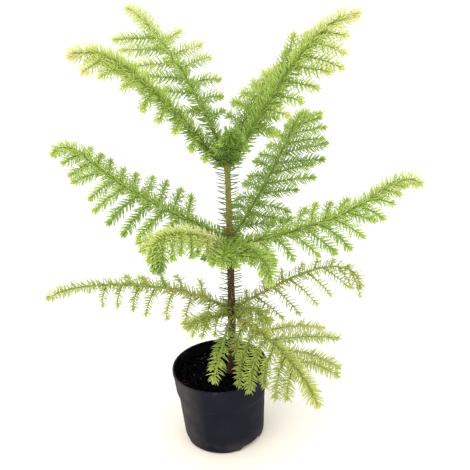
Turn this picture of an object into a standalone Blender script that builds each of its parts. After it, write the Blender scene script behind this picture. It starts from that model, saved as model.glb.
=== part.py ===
"""A young Norfolk Island pine in a round nursery pot, as separate named solids.

The pot, its soil, the whole trunk, each bough and each flat frond of foliage is one solid. A bough leaves
the trunk at a whorl and ends where its foliage begins. The foliage carries on along the same curve: a thin
stem with two ranks of branchlets, each of them a toothed blade, whose teeth stand for its needles.

Everything is in metres and degrees, with +Z up. The origin is the centre of the pot's flat underside.
"""

import math
import random
from dataclasses import dataclass

import bmesh
import bpy
from mathutils import Vector
from mathutils.bvhtree import BVHTree

# Clear space between neighbouring solids
GAP = 0.0003

# Pot
POT_HEIGHT = 0.085
POT_FOOT_RADIUS = 0.0408
POT_FOOT_ROUNDING = 0.0042
POT_BODY_TOP_RADIUS = 0.0478
POT_BODY_TOP = 0.0545
COLLAR_BOTTOM = 0.0590
COLLAR_BOTTOM_RADIUS = 0.0500
RIM_RADIUS = 0.0525
LIP_HEIGHT = 0.0030
LIP_PROUD = 0.0006
POT_WALL = 0.0012
POT_FLOOR = 0.0018
POT_SIDES = 28
FOOT_STEPS = 3

# Soil
SOIL_TOP = 0.0752
SOIL_DIP = 0.0026
SOIL_RINGS = (0.80, 0.55, 0.25)
SOIL_CLEAR = 2.0 * GAP

# Trunk
TRUNK_FOOT_X = 0.0114
TRUNK_LEAN = 0.0110
TRUNK_BOW = 0.62
TRUNK_TOP = 0.3300
TRUNK_FOOT_RADIUS = 0.0044
TRUNK_TOP_RADIUS = 0.0022
ROOT_FLARE = 0.0014
ROOT_FLARE_HEIGHT = 0.0050
WHORL_HEIGHTS = (0.149, 0.226, 0.306)
WHORL_SWELLING = 0.0008
WHORL_SPREAD = 0.0050
TRUNK_SIDES = 8
TRUNK_RINGS = 24

# Boughs and the stems that carry on from them
BOUGH_ROOT_RADIUS = 0.0017
STEM_TIP_RADIUS = 0.0008
STEM_TAPER = 0.8
BOUGH_SIDES = 6
BOUGH_RINGS = 3
STEM_SIDES = 4
STEM_RINGS = 6
PATH_STEPS = 40
CURL_FROM = 0.75
CURL_POWER = 1.5

# Branchlets
RANK_OFFSET = 0.42
GAP_CLOSING = 0.25
FALL_POWER = 1.3
LONGEST_PART = 0.9
LENGTH_TO_SPARE = 0.010
LENGTH_SPREAD = (0.86, 1.10)
ANGLE_CLOSING = 0.42
ANGLE_SPREAD = 6.0
DROOP_CLOSING = 0.35
DROOP_AT_ROOT = 0.4
DROOP_GAIN = 1.2
DROOP_SPREAD = 9.0
FORWARD_CURVE = 0.18
TIP_ROOM = 0.01
BRANCHLET_STEPS = 6

# Blades, one to a branchlet
BLADE_REACH = 0.0060
BLADE_TIP = 0.006
SHOOT_SUNK = 0.002
TOOTH_PITCH = 0.0125
FEWEST_TEETH = 2
TOOTH_LEAN = 0.72
TEETH_START = 0.06
TEETH_RUN = 0.88
TEETH_TAPER = 0.38
VALLEY_PART = 0.40
BLADE_THICKNESS = 0.0011
BLADE_THINNING = 0.4
ROOT_WIDTH_PART = 0.75
ROOT_LIFT_PART = 0.6
SPINE_AT = (0.0, 0.48, 0.86)
CLEAR_GROW = 1.5 * GAP
# A blade that meets a neighbour is tried again narrower, then shorter: (length, width)
TRIES = ((1.0, 1.0), (1.0, 0.8), (0.85, 0.65), (0.6, 0.6))

# Leader, the bud cluster on the trunk's top
LEADER_LENGTH = 0.016
LEADER_TAPER = (1.0, 0.8, 0.5)
LEADER_BLADES = 8
LEADER_FIRST = 0.8
LEADER_BLADE_LENGTH = 0.012
LEADER_SHORTENING = 0.3
LEADER_BLADE_REACH = 0.0026
LEADER_ROOT_RADIUS = 0.5 * TRUNK_TOP_RADIUS
LEADER_ROOT_OUT = 0.2 * TRUNK_TOP_RADIUS
LEADER_RUN = 0.9 * LEADER_LENGTH
LEADER_OPENING = 48.0
LEADER_CLOSING = 0.7
GOLDEN_ANGLE = 137.5

# A direction this near the vertical takes another reference for its rings
NEAR_VERTICAL = 0.05
MERGE_DISTANCE = 0.000001
SHARP_ANGLE = 35.0


@dataclass(frozen=True)
class Rank:
    """The branchlets on one side of a frond.

    reach is the longest of them, at full_at of the frond's length. They start at root_part of it near the
    trunk and are cut to tip_part of it at the tip. They leave the stem at angle and hang by droop, and
    none stands before first or beyond last.
    """

    reach: float
    full_at: float = 0.30
    tip_part: float = 0.35
    angle: float = 74.0
    droop: float = 20.0
    root_part: float = 0.55
    first: float = 0.0
    last: float = 1.0


@dataclass(frozen=True)
class Frond:
    """One bough with its foliage, as a curve that leaves the trunk and two ranks of branchlets.

    azimuth is 0 towards +X and 90 towards +Y. The rise goes from rise_root to rise_tip along the curve,
    late where bend is large, and the tip curls down by curl. The bough is bare long, clear lies between it
    and the first branchlet, gap between two branchlets of a rank, and none stands beyond last. tilt turns
    the plane of the ranks about the stem.
    """

    name: str
    azimuth: float
    height: float
    length: float
    rise_root: float
    rise_tip: float
    bend: float
    left: Rank
    right: Rank
    curl: float = 0.0
    sweep: float = 0.0
    bare: float = 0.016
    clear: float = 0.007
    gap: float = 0.022
    tilt: float = 0.0
    last: float = 0.90


FRONDS = [
    # top whorl
    Frond("top_left_low", 195, 0.3040, 0.1826, 52, -4, 4.5,
          Rank(0.040, 0.85, 0.40, 86, 21, root_part=0.35, last=0.92),
          Rank(0.038, 0.55, 0.45, root_part=0.35), curl=19, sweep=1, bare=0.026, clear=0.004, gap=0.0194,
          tilt=-14, last=0.86),
    Frond("top_left_high", 125, 0.3065, 0.2217, 62, 31, 0.7,
          Rank(0.052, 0.65, 0.35, 74, 4, root_part=0.15), Rank(0.045, 0.50, 0.10, 90, 20, root_part=0.10),
          curl=22, sweep=4, bare=0.030, clear=0.022, gap=0.0215, tilt=-22, last=0.76),
    Frond("top_right", 8, 0.3030, 0.1913, 55, 6, 4.5,
          Rank(0.043, 0.48, 0.30, 46, 20, root_part=0.30, last=0.77),
          Rank(0.039, 0.66, 0.14, 82, 13, root_part=0.28), curl=11, sweep=1, bare=0.030, clear=0.016,
          gap=0.0163, tilt=36, last=0.84),
    Frond("top_back_right", 54, 0.3105, 0.126, 48, 22, 1.5, Rank(0.044, 0.50, root_part=0.40), Rank(0.034),
          bare=0.030, gap=0.0175),
    Frond("top_front", -80, 0.3050, 0.058, 60, 30, 1.5, Rank(0.018), Rank(0.018), gap=0.012, last=0.85),
    # middle whorl
    Frond("mid_front_left", -145, 0.2215, 0.1111, 34, -84, 3.4,
          Rank(0.040, 0.90, 0.90, 70, 36, root_part=0.40), Rank(0.032, 0.60, root_part=0.70, last=0.86),
          sweep=8, gap=0.0115, last=0.96),
    Frond("mid_left", 152, 0.2317, 0.2403, 17, 50, 2.1,
          Rank(0.046, 0.40, 0.18, 83, 20, root_part=0.50, last=0.95),
          Rank(0.040, 0.19, 0.05, 83, 22, root_part=0.75, last=0.79), curl=108, sweep=-1, clear=0.036,
          gap=0.0190, tilt=-39, last=0.84),
    Frond("mid_right", 12, 0.2240, 0.2193, 5, 59, 2.4, Rank(0.042, 0.30, 0.25, last=0.58),
          Rank(0.042, 0.35, 0.05, 66, 18), curl=114, clear=0.014, gap=0.0175, tilt=30, last=0.86),
    Frond("mid_back_right", 62, 0.2310, 0.2174, 9, 39, 0.5, Rank(0.044, 0.40, 0.20),
          Rank(0.056, 0.55, 0.40, 74, 12), curl=38, sweep=-6, bare=0.020, gap=0.0175, tilt=4, last=0.95),
    Frond("mid_front", -55, 0.2245, 0.0774, 11, -89, 2.4, Rank(0.024, 0.30, 0.30), Rank(0.018), curl=20,
          bare=0.012, gap=0.0160, last=0.80),
    Frond("mid_near", -98, 0.2275, 0.056, 14, -24, 1.5, Rank(0.028), Rank(0.026), bare=0.010, gap=0.0115,
          last=0.85),
    Frond("mid_back", 96, 0.2290, 0.060, -14, -34, 1.3, Rank(0.028), Rank(0.026), bare=0.014, gap=0.0125,
          last=0.86),
    # low whorl
    Frond("low_left", 166, 0.1500, 0.2231, 38, -17, 0.5, Rank(0.034, 0.30, 0.30, 90, 44, root_part=0.80),
          Rank(0.036, 0.20, 0.20, root_part=0.80, last=0.58), curl=19, bare=0.018, gap=0.0215, tilt=-24,
          last=0.70),
    Frond("low_right", 18, 0.1525, 0.1752, 18, -89, 3.5, Rank(0.022, 0.25, 0.40, root_part=0.90),
          Rank(0.039, 0.20, 0.75, 66, 24, root_part=0.90), curl=8, bare=0.012, gap=0.0220, tilt=28,
          last=0.86),
    Frond("low_front_right", -50, 0.1470, 0.137, -4, -60, 1.7,
          Rank(0.084, 0.43, 0.32, 86, 21, root_part=0.20, first=0.299, last=0.683),
          Rank(0.058, 0.29, 0.05, 104, 56, last=0.78), bare=0.012, clear=0.0109, gap=0.0157, tilt=12,
          last=0.86),
    Frond("low_front", -106, 0.1455, 0.0817, -15, -27, 0.6, Rank(0.010, 0.40, 0.50, 60),
          Rank(0.022, 0.40, 0.50, 44, 30), bare=0.014, gap=0.0210, last=0.84),
    Frond("low_back", 88, 0.1500, 0.066, -18, -40, 1.3, Rank(0.031), Rank(0.029), bare=0.014, gap=0.0125,
          last=0.86),
    Frond("low_near", -24, 0.1556, 0.046, 8, -56, 1.4, Rank(0.024), Rank(0.026), bare=0.010, gap=0.0105,
          last=0.86),
    Frond("low_front_left", -158, 0.1475, 0.052, 6, -20, 1.5, Rank(0.028), Rank(0.030), bare=0.010,
          gap=0.0110, last=0.88),
]

FINISHES = {
    # name: base colour, roughness
    "pot_plastic": ((0.020, 0.022, 0.026, 1.0), 0.42),
    "potting_soil": ((0.016, 0.012, 0.010, 1.0), 0.95),
    "young_bark": ((0.130, 0.070, 0.035, 1.0), 0.80),
    "bough_bark": ((0.260, 0.230, 0.060, 1.0), 0.70),
    "foliage": ((0.230, 0.400, 0.060, 1.0), 0.60),
}


# Scene and finishes


def clear_scene():
    """Removes every object the file opens with."""
    for thing in list(bpy.data.objects):
        bpy.data.objects.remove(thing, do_unlink=True)


def finish(name):
    """The material of that name, made once."""
    material = bpy.data.materials.get(name)
    if material is None:
        material = bpy.data.materials.new(name)
        material.use_nodes = True
        colour, roughness = FINISHES[name]
        shader = material.node_tree.nodes["Principled BSDF"]
        shader.inputs["Base Color"].default_value = colour
        shader.inputs["Roughness"].default_value = roughness
        shader.inputs["Metallic"].default_value = 0.0
        material.diffuse_color = colour
    return material


def new_object(name, bm, material, parent=None):
    """Turns a bmesh into an object with outward faces and one material."""
    bmesh.ops.recalc_face_normals(bm, faces=bm.faces[:])
    if bm.calc_volume(signed=True) < 0.0:
        bmesh.ops.reverse_faces(bm, faces=bm.faces[:])
    mesh = bpy.data.meshes.new(name)
    bm.to_mesh(mesh)
    bm.free()
    mesh.materials.append(finish(material))
    thing = bpy.data.objects.new(name, mesh)
    bpy.context.scene.collection.objects.link(thing)
    thing.parent = parent
    return thing


def shade_round(thing):
    """Smooth shading with the sharper edges kept."""
    thing.data.shade_smooth()
    thing.data.set_sharp_from_angle(angle=math.radians(SHARP_ANGLE))


def read_tree(thing):
    """A search tree of an object's mesh, for telling what comes near it."""
    bm = bmesh.new()
    bm.from_mesh(thing.data)
    tree = BVHTree.FromBMesh(bm)
    bm.free()
    return tree


# Round bodies


def add_ring(bm, centre, across, upright, radius, sides):
    """A ring of vertices about a centre, in the plane of two unit vectors."""
    ring = []
    for i in range(sides):
        turn = 2.0 * math.pi * i / sides
        spoke = across * math.cos(turn) + upright * math.sin(turn)
        ring.append(bm.verts.new(centre + spoke * radius))
    return ring


def bridge(bm, lower, upper):
    """Quads between two rings of the same count."""
    count = len(lower)
    for i in range(count):
        j = (i + 1) % count
        bm.faces.new((lower[i], lower[j], upper[j], upper[i]))


def add_tube(bm, points, directions, radii, sides):
    """A closed tube through points, with flat ends square to its own directions."""
    rings = []
    for point, direction, radius in zip(points, directions, radii):
        across = direction.cross(Vector((0.0, 0.0, 1.0)))
        if across.length < NEAR_VERTICAL:
            across = direction.cross(Vector((0.0, 1.0, 0.0)))
        across.normalize()
        upright = across.cross(direction).normalized()
        rings.append(add_ring(bm, point, across, upright, radius, sides))
    for lower, upper in zip(rings, rings[1:]):
        bridge(bm, lower, upper)
    bm.faces.new(rings[0][::-1])
    bm.faces.new(rings[-1])


def spin_profile(profile, sides):
    """A closed solid of revolution about Z from a profile that starts and ends on the axis."""
    bm = bmesh.new()
    verts = [bm.verts.new((radius, 0.0, height)) for radius, height in profile]
    edges = [bm.edges.new(pair) for pair in zip(verts, verts[1:])]
    bmesh.ops.spin(bm, geom=verts + edges, axis=(0, 0, 1), cent=(0, 0, 0), dvec=(0, 0, 0),
                   angle=2.0 * math.pi, steps=sides, use_merge=True)
    bmesh.ops.remove_doubles(bm, verts=bm.verts[:], dist=MERGE_DISTANCE)
    return bm


# Pot and soil


def pot_outer():
    """The pot's outside from the axis to the rim: foot arc, body, step and collar."""
    profile = [(0.0, 0.0)]
    for step in range(FOOT_STEPS + 1):
        turn = 0.5 * math.pi * step / FOOT_STEPS
        profile.append((POT_FOOT_RADIUS + POT_FOOT_ROUNDING * math.sin(turn),
                        POT_FOOT_ROUNDING * (1.0 - math.cos(turn))))
    profile.append((POT_BODY_TOP_RADIUS, POT_BODY_TOP))
    profile.append((COLLAR_BOTTOM_RADIUS, COLLAR_BOTTOM))
    profile.append((RIM_RADIUS - LIP_PROUD, POT_HEIGHT - LIP_HEIGHT - LIP_PROUD))
    profile.append((RIM_RADIUS, POT_HEIGHT - LIP_HEIGHT))
    profile.append((RIM_RADIUS, POT_HEIGHT - LIP_PROUD))
    profile.append((RIM_RADIUS - LIP_PROUD, POT_HEIGHT))
    return profile


def pot_inner():
    """The pot's inside from the rim down to the axis, one wall in from the outside."""
    return [
        (RIM_RADIUS - LIP_PROUD - POT_WALL, POT_HEIGHT),
        (COLLAR_BOTTOM_RADIUS - POT_WALL, COLLAR_BOTTOM + POT_WALL),
        (POT_BODY_TOP_RADIUS - POT_WALL, POT_BODY_TOP + POT_WALL),
        (POT_FOOT_RADIUS + POT_FOOT_ROUNDING - POT_WALL, POT_FOOT_ROUNDING + POT_FLOOR),
        (POT_FOOT_RADIUS, POT_FLOOR),
        (0.0, POT_FLOOR),
    ]


def inner_radius(height):
    """Radius of the pot's inside at a height."""
    corners = pot_inner()[:-1][::-1]
    for (r0, z0), (r1, z1) in zip(corners, corners[1:]):
        if z0 <= height <= z1:
            return r0 + (r1 - r0) * (height - z0) / (z1 - z0)
    return corners[-1][0]


def make_pot():
    """The thin-walled pot with its stepped collar."""
    pot = new_object("pot", spin_profile(pot_outer() + pot_inner(), POT_SIDES), "pot_plastic")
    shade_round(pot)
    return pot


def make_soil():
    """The plug of soil that fills the pot, uneven on top and flat under the trunk."""
    rng = random.Random("soil")
    bm = bmesh.new()
    across = Vector((1.0, 0.0, 0.0))
    upright = Vector((0.0, 1.0, 0.0))
    heights = [POT_FLOOR + GAP, POT_FOOT_ROUNDING + POT_FLOOR, POT_BODY_TOP + POT_WALL,
               COLLAR_BOTTOM + POT_WALL, SOIL_TOP - 0.5 * SOIL_DIP]
    rings = []
    for height in heights:
        radius = inner_radius(height) - SOIL_CLEAR
        rings.append(add_ring(bm, Vector((0.0, 0.0, height)), across, upright, radius, POT_SIDES))
    edge = inner_radius(SOIL_TOP) - SOIL_CLEAR
    for part in SOIL_RINGS:
        centre = Vector((TRUNK_FOOT_X * (1.0 - part), 0.0, SOIL_TOP))
        ring = add_ring(bm, centre, across, upright, edge * part, POT_SIDES)
        if part > SOIL_RINGS[-1]:
            for vert in ring:
                vert.co.z -= rng.uniform(0.0, SOIL_DIP)
        rings.append(ring)
    for lower, upper in zip(rings, rings[1:]):
        bridge(bm, lower, upper)
    bm.faces.new(rings[0][::-1])
    bm.faces.new(rings[-1])
    return new_object("soil", bm, "potting_soil")


# Trunk


def trunk_axis(height):
    """The trunk's centre at a height: it leans a little and bows back upright."""
    part = (height - SOIL_TOP) / (TRUNK_TOP - SOIL_TOP)
    part = min(1.0, max(0.0, part))
    return Vector((TRUNK_FOOT_X + TRUNK_LEAN * part ** TRUNK_BOW, 0.0, height))


def trunk_radius(height):
    """Even taper, with a flare at the foot and a slight swelling at each whorl."""
    part = (height - SOIL_TOP) / (TRUNK_TOP - SOIL_TOP)
    radius = TRUNK_FOOT_RADIUS + (TRUNK_TOP_RADIUS - TRUNK_FOOT_RADIUS) * part
    radius += ROOT_FLARE * math.exp(-(height - SOIL_TOP) / ROOT_FLARE_HEIGHT)
    for whorl in WHORL_HEIGHTS:
        radius += WHORL_SWELLING * math.exp(-((height - whorl) / WHORL_SPREAD) ** 2)
    return radius


def trunk_tube(grow):
    """The trunk's tube, its radius enlarged by grow."""
    foot = SOIL_TOP + GAP
    heights = [foot + (TRUNK_TOP - foot) * i / TRUNK_RINGS for i in range(TRUNK_RINGS + 1)]
    points = [trunk_axis(height) for height in heights]
    upwards = [Vector((0.0, 0.0, 1.0))] * len(points)
    radii = [trunk_radius(height) + grow for height in heights]
    bm = bmesh.new()
    add_tube(bm, points, upwards, radii, TRUNK_SIDES)
    return bm


def make_trunk():
    """The whole trunk from its flat cut on the soil to its tip, and the cutter that keeps boughs clear."""
    trunk = new_object("trunk", trunk_tube(0.0), "young_bark")
    shade_round(trunk)
    cutter = new_object("trunk_clearance", trunk_tube(GAP), "young_bark")
    cutter.hide_render = True
    cutter.display_type = "WIRE"
    return trunk, cutter


# Fronds


def frond_path(frond):
    """Points and directions along a frond's stem, from the trunk's axis to the tip."""
    point = trunk_axis(frond.height)
    path = []
    for i in range(PATH_STEPS + 1):
        part = i / PATH_STEPS
        turn = math.radians(frond.azimuth + frond.sweep * part)
        rise = frond.rise_root + (frond.rise_tip - frond.rise_root) * part ** frond.bend
        rise -= frond.curl * max(0.0, (part - CURL_FROM) / (1.0 - CURL_FROM)) ** CURL_POWER
        rise = math.radians(rise)
        direction = Vector((math.cos(rise) * math.cos(turn), math.cos(rise) * math.sin(turn),
                            math.sin(rise)))
        path.append((point.copy(), direction))
        point = point + direction * (frond.length / PATH_STEPS)
    return path


def path_at(path, part):
    """Point and direction at a part, 0 to 1, of a path."""
    steps = len(path) - 1
    i = min(steps - 1, int(part * steps))
    blend = part * steps - i
    return path[i][0].lerp(path[i + 1][0], blend), path[i][1].lerp(path[i + 1][1], blend).normalized()


def stem_radius(frond, run):
    """Radius of a bough or its stem at a distance from the trunk's axis."""
    return BOUGH_ROOT_RADIUS + (STEM_TIP_RADIUS - BOUGH_ROOT_RADIUS) * (run / frond.length) ** STEM_TAPER


def rank_side(frond, part, direction):
    """Unit vector square to the stem, in the plane of the two ranks."""
    turn = math.radians(frond.azimuth + frond.sweep * part)
    level = Vector((-math.sin(turn), math.cos(turn), 0.0))
    tilt = math.radians(frond.tilt)
    return level * math.cos(tilt) + direction.cross(level) * math.sin(tilt)


def branchlet_length(frond, rank, part, rng):
    """Length of a branchlet: it grows to full_at along the frond and falls off towards the tip."""
    grow = min(1.0, rank.root_part + (1.0 - rank.root_part) * part / rank.full_at)
    beyond = max(0.0, (part - rank.full_at) / (1.0 - rank.full_at))
    fall = 1.0 - (1.0 - rank.tip_part) * beyond ** FALL_POWER
    length = rank.reach * grow * fall * rng.uniform(*LENGTH_SPREAD)
    return min(length, LONGEST_PART * (1.0 - part) * frond.length + LENGTH_TO_SPARE)


def branchlet_path(frond, root, stem_direction, side, part, length, rng):
    """Points of a branchlet that leaves the stem at an angle, turns forwards a little and droops."""
    rank = frond.left if side > 0 else frond.right
    angle = math.radians(rank.angle * (1.0 - ANGLE_CLOSING * part) + rng.uniform(-ANGLE_SPREAD, ANGLE_SPREAD))
    across = rank_side(frond, part, stem_direction)
    start = stem_direction * math.cos(angle) + across * (side * math.sin(angle))
    droop = rank.droop * (1.0 - DROOP_CLOSING * part) + rng.uniform(-DROOP_SPREAD, DROOP_SPREAD)
    droop = math.radians(droop)
    rise = math.asin(max(-1.0, min(1.0, start.z)))
    heading = math.atan2(start.y, start.x)
    ahead = math.atan2(stem_direction.y, stem_direction.x)
    swing = (ahead - heading + math.pi) % (2.0 * math.pi) - math.pi
    points = [root.copy()]
    for step in range(BRANCHLET_STEPS):
        along = (step + 0.5) / BRANCHLET_STEPS
        pitch = rise - droop * (DROOP_AT_ROOT + DROOP_GAIN * along)
        turn = heading + FORWARD_CURVE * swing * along
        direction = Vector((math.cos(pitch) * math.cos(turn), math.cos(pitch) * math.sin(turn),
                            math.sin(pitch)))
        points.append(points[-1] + direction * (length / BRANCHLET_STEPS))
    return points


def branchlets(frond, path):
    """Every branchlet of a frond, as its points, the stem's direction at its root and its place."""
    rng = random.Random(frond.name)
    first = 1 if rng.random() < 0.5 else -1
    run = frond.bare + frond.clear
    found = []
    while run < frond.length * frond.last:
        for side in (first, -first):
            rank = frond.left if side > 0 else frond.right
            part = run / frond.length
            if side != first:
                part += RANK_OFFSET * frond.gap / frond.length
            if not rank.first <= part <= min(frond.last, rank.last) - TIP_ROOM:
                continue
            root, direction = path_at(path, part)
            length = branchlet_length(frond, rank, part, rng)
            points = branchlet_path(frond, root, direction, side, part, length, rng)
            found.append((points, direction, part))
        run += frond.gap * (1.0 - GAP_CLOSING * run / frond.length)
    return found


# Blades


def polyline_at(points, part):
    """Point at a part, 0 to 1, along evenly spaced points."""
    steps = len(points) - 1
    i = min(steps - 1, int(part * steps))
    return points[i].lerp(points[i + 1], part * steps - i)


def blade_outline(length):
    """One side of a toothed blade as (place along it, half-width as a part of the reach)."""
    teeth = max(FEWEST_TEETH, round(length / TOOTH_PITCH))
    pitch = TEETH_RUN / teeth
    outline = []
    for tooth in range(teeth):
        start = TEETH_START + pitch * tooth
        width = 1.0 - TEETH_TAPER * (tooth / teeth) ** 2
        outline.append((start, VALLEY_PART * width))
        outline.append((start + TOOTH_LEAN * pitch, width))
    return outline


def add_strip(bm, outer, spine, tip):
    """Triangles between an outline and a spine, each a list of (place, vertex), closed at the tip."""
    i = 0
    j = 0
    while i < len(outer) - 1 or j < len(spine) - 1:
        next_outer = outer[i + 1][0] if i < len(outer) - 1 else 2.0
        next_spine = spine[j + 1][0] if j < len(spine) - 1 else 2.0
        if next_outer <= next_spine:
            bm.faces.new((outer[i][1], outer[i + 1][1], spine[j][1]))
            i += 1
        else:
            bm.faces.new((outer[i][1], spine[j + 1][1], spine[j][1]))
            j += 1
    bm.faces.new((outer[-1][1], tip, spine[-1][1]))


def blade_mesh(points, beside, length, root_radius, reach, grow=0.0):
    """A toothed blade: knife-edged at its teeth and thickest along its spine.

    beside is a vector near its plane, and grow fattens it for a test of what comes near.
    """
    bm = bmesh.new()
    end = (points[-1] - points[-2]).normalized()
    tip = bm.verts.new(points[-1] + end * (BLADE_TIP + grow))
    heading = (points[-1] - points[0]).normalized()
    across = (beside - heading * beside.dot(heading)).normalized()
    normal = heading.cross(across).normalized()
    root_width = ROOT_WIDTH_PART * root_radius
    sides = []
    for sign in (1.0, -1.0):
        side = [(0.0, bm.verts.new(points[0] + across * (sign * root_width)))]
        for place, width in blade_outline(length):
            spot = polyline_at(points, place) + across * (sign * (width * reach + grow))
            side.append((place, bm.verts.new(spot)))
        sides.append(side)
    faces = []
    for sign in (1.0, -1.0):
        spine = []
        for place in SPINE_AT:
            lift = BLADE_THICKNESS * (1.0 - BLADE_THINNING * place)
            if place == 0.0:
                lift = ROOT_LIFT_PART * root_radius
            spot = polyline_at(points, place) + normal * (sign * (lift + grow))
            spine.append((place, bm.verts.new(spot)))
        faces.append(spine)
        for side in sides:
            add_strip(bm, side, spine, tip)
    bm.faces.new((sides[0][0][1], faces[0][0][1], sides[1][0][1], faces[1][0][1]))
    return bm


def keeps_clear(points, beside, length, root_radius, reach, others):
    """True where a fattened blade meets none of the other solids."""
    bm = blade_mesh(points, beside, length, root_radius, reach, CLEAR_GROW)
    tree = BVHTree.FromBMesh(bm)
    bm.free()
    return not any(tree.overlap(other) for other in others)


def shortened(points, part):
    """The same branchlet cut to a part of its length."""
    steps = len(points) - 1
    return [polyline_at(points, part * i / steps) for i in range(steps + 1)]


def add_blade(name, points, beside, length, root_radius, reach, others, group):
    """Adds a blade to a collection, cut down or left out where it would touch a neighbour.

    others are search trees of everything placed so far, and the new blade's own tree joins them.
    """
    for part, narrow in TRIES:
        trial = shortened(points, part)
        sizes = (beside, length * part, root_radius, reach * narrow)
        if keeps_clear(trial, *sizes, others):
            blade = new_object(name, blade_mesh(trial, *sizes), "foliage")
            others.append(read_tree(blade))
            bpy.context.scene.collection.objects.unlink(blade)
            group.objects.link(blade)
            return


def join_blades(stem, group):
    """Joins a collection of blades onto their stem with one union, then removes the collection.

    The exact solver leaves slivers where a blade's root edge runs along the stem, so this one is used.
    """
    union = stem.modifiers.new("join", "BOOLEAN")
    union.operation = "UNION"
    union.operand_type = "COLLECTION"
    union.collection = group
    union.solver = "MANIFOLD"
    bpy.context.view_layer.update()
    evaluated = stem.evaluated_get(bpy.context.evaluated_depsgraph_get())
    joined = bpy.data.meshes.new_from_object(evaluated)
    joined.name = stem.name
    stem.modifiers.clear()
    stem.data = joined
    stem.data.materials.clear()
    stem.data.materials.append(finish("foliage"))
    for blade in list(group.objects):
        bpy.data.objects.remove(blade, do_unlink=True)
    bpy.data.collections.remove(group)


# Boughs and foliage


def stretch(frond, path, start, end, rings):
    """Points, directions and radii of the frond's stem between two distances."""
    points = []
    directions = []
    radii = []
    for i in range(rings + 1):
        run = start + (end - start) * i / rings
        point, direction = path_at(path, run / frond.length)
        points.append(point)
        directions.append(direction)
        radii.append(stem_radius(frond, run))
    return points, directions, radii


def make_bough(frond, cutter, plant):
    """One tapering bough, cut to sit on the trunk."""
    bm = bmesh.new()
    add_tube(bm, *stretch(frond, frond_path(frond), 0.0, frond.bare, BOUGH_RINGS), BOUGH_SIDES)
    bough = new_object("bough_" + frond.name, bm, "bough_bark", plant)
    shade_round(bough)
    seat = bough.modifiers.new("seat_on_trunk", "BOOLEAN")
    seat.operation = "DIFFERENCE"
    seat.object = cutter
    seat.solver = "EXACT"
    return bough


def make_stem(frond, plant):
    """The stem that carries on from a bough's tip to the root of the leading shoot."""
    bm = bmesh.new()
    run = stretch(frond, frond_path(frond), frond.bare + GAP, frond.length * frond.last, STEM_RINGS)
    add_tube(bm, *run, STEM_SIDES)
    return new_object("foliage_" + frond.name, bm, "foliage", plant)


def new_group(name):
    """An empty collection for the blades of one mass."""
    group = bpy.data.collections.new(name)
    bpy.context.scene.collection.children.link(group)
    return group


def clothe_stem(frond, stem, others):
    """Fuses the leading shoot and both ranks of branchlets onto a frond's stem."""
    path = frond_path(frond)
    group = new_group(stem.name + "_blades")
    end, end_direction = path_at(path, frond.last)
    shoot = [path_at(path, frond.last + (1.0 - frond.last) * i / BRANCHLET_STEPS)[0]
             for i in range(BRANCHLET_STEPS + 1)]
    shoot[0] = end - end_direction * SHOOT_SUNK
    add_blade(stem.name + "_shoot", shoot, rank_side(frond, frond.last, end_direction),
              frond.length * (1.0 - frond.last), stem_radius(frond, frond.length * frond.last),
              BLADE_REACH, others, group)
    for number, (points, direction, part) in enumerate(branchlets(frond, path)):
        length = (points[-1] - points[0]).length
        root_radius = stem_radius(frond, part * frond.length)
        add_blade(f"{stem.name}_{number}", points, direction, length, root_radius, BLADE_REACH, others,
                  group)
    join_blades(stem, group)


def make_leader_stem(plant):
    """The short stem on the trunk's tip."""
    foot = trunk_axis(TRUNK_TOP) + Vector((0.0, 0.0, GAP))
    up = Vector((0.0, 0.0, 1.0))
    rings = len(LEADER_TAPER)
    points = [foot + up * (LEADER_LENGTH * i / (rings - 1)) for i in range(rings)]
    radii = [part * TRUNK_TOP_RADIUS for part in LEADER_TAPER]
    bm = bmesh.new()
    add_tube(bm, points, [up] * rings, radii, STEM_SIDES)
    return new_object("foliage_leader", bm, "foliage", plant)


def clothe_leader(stem, others):
    """Fuses a spiral of short blades onto the leader's stem."""
    group = new_group(stem.name + "_blades")
    foot = trunk_axis(TRUNK_TOP)
    up = Vector((0.0, 0.0, 1.0))
    for number in range(LEADER_BLADES):
        part = (number + LEADER_FIRST) / LEADER_BLADES
        opening = math.radians(LEADER_OPENING * (1.0 - LEADER_CLOSING * part))
        turn = math.radians(GOLDEN_ANGLE * number)
        out = Vector((math.cos(turn), math.sin(turn), 0.0))
        direction = out * math.sin(opening) + up * math.cos(opening)
        root = foot + up * (part * LEADER_RUN) + out * LEADER_ROOT_OUT
        length = LEADER_BLADE_LENGTH * (1.0 - LEADER_SHORTENING * part)
        blade = [root + direction * (length * i / BRANCHLET_STEPS) for i in range(BRANCHLET_STEPS + 1)]
        add_blade(f"{stem.name}_{number}", blade, out.cross(up), length, LEADER_ROOT_RADIUS,
                  LEADER_BLADE_REACH, others, group)
    join_blades(stem, group)


def main():
    """Builds the pot, the soil, the trunk, the boughs and the stems, then clothes each stem."""
    clear_scene()
    plant = bpy.data.objects.new("plant", None)
    bpy.context.scene.collection.objects.link(plant)
    trunk, cutter = make_trunk()
    trunk.parent = plant
    boughs = [make_bough(frond, cutter, plant) for frond in FRONDS]
    stems = [make_stem(frond, plant) for frond in FRONDS]
    leader = make_leader_stem(plant)
    solids = [make_pot(), make_soil(), trunk, leader] + boughs + stems
    trees = {solid.name: read_tree(solid) for solid in solids}
    for frond, bough, stem in zip(FRONDS, boughs, stems):
        own = (bough.name, stem.name)
        clothe_stem(frond, stem, [tree for name, tree in trees.items() if name not in own])
        trees[stem.name] = read_tree(stem)
    clothe_leader(leader, [tree for name, tree in trees.items() if name != leader.name])


main()
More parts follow.
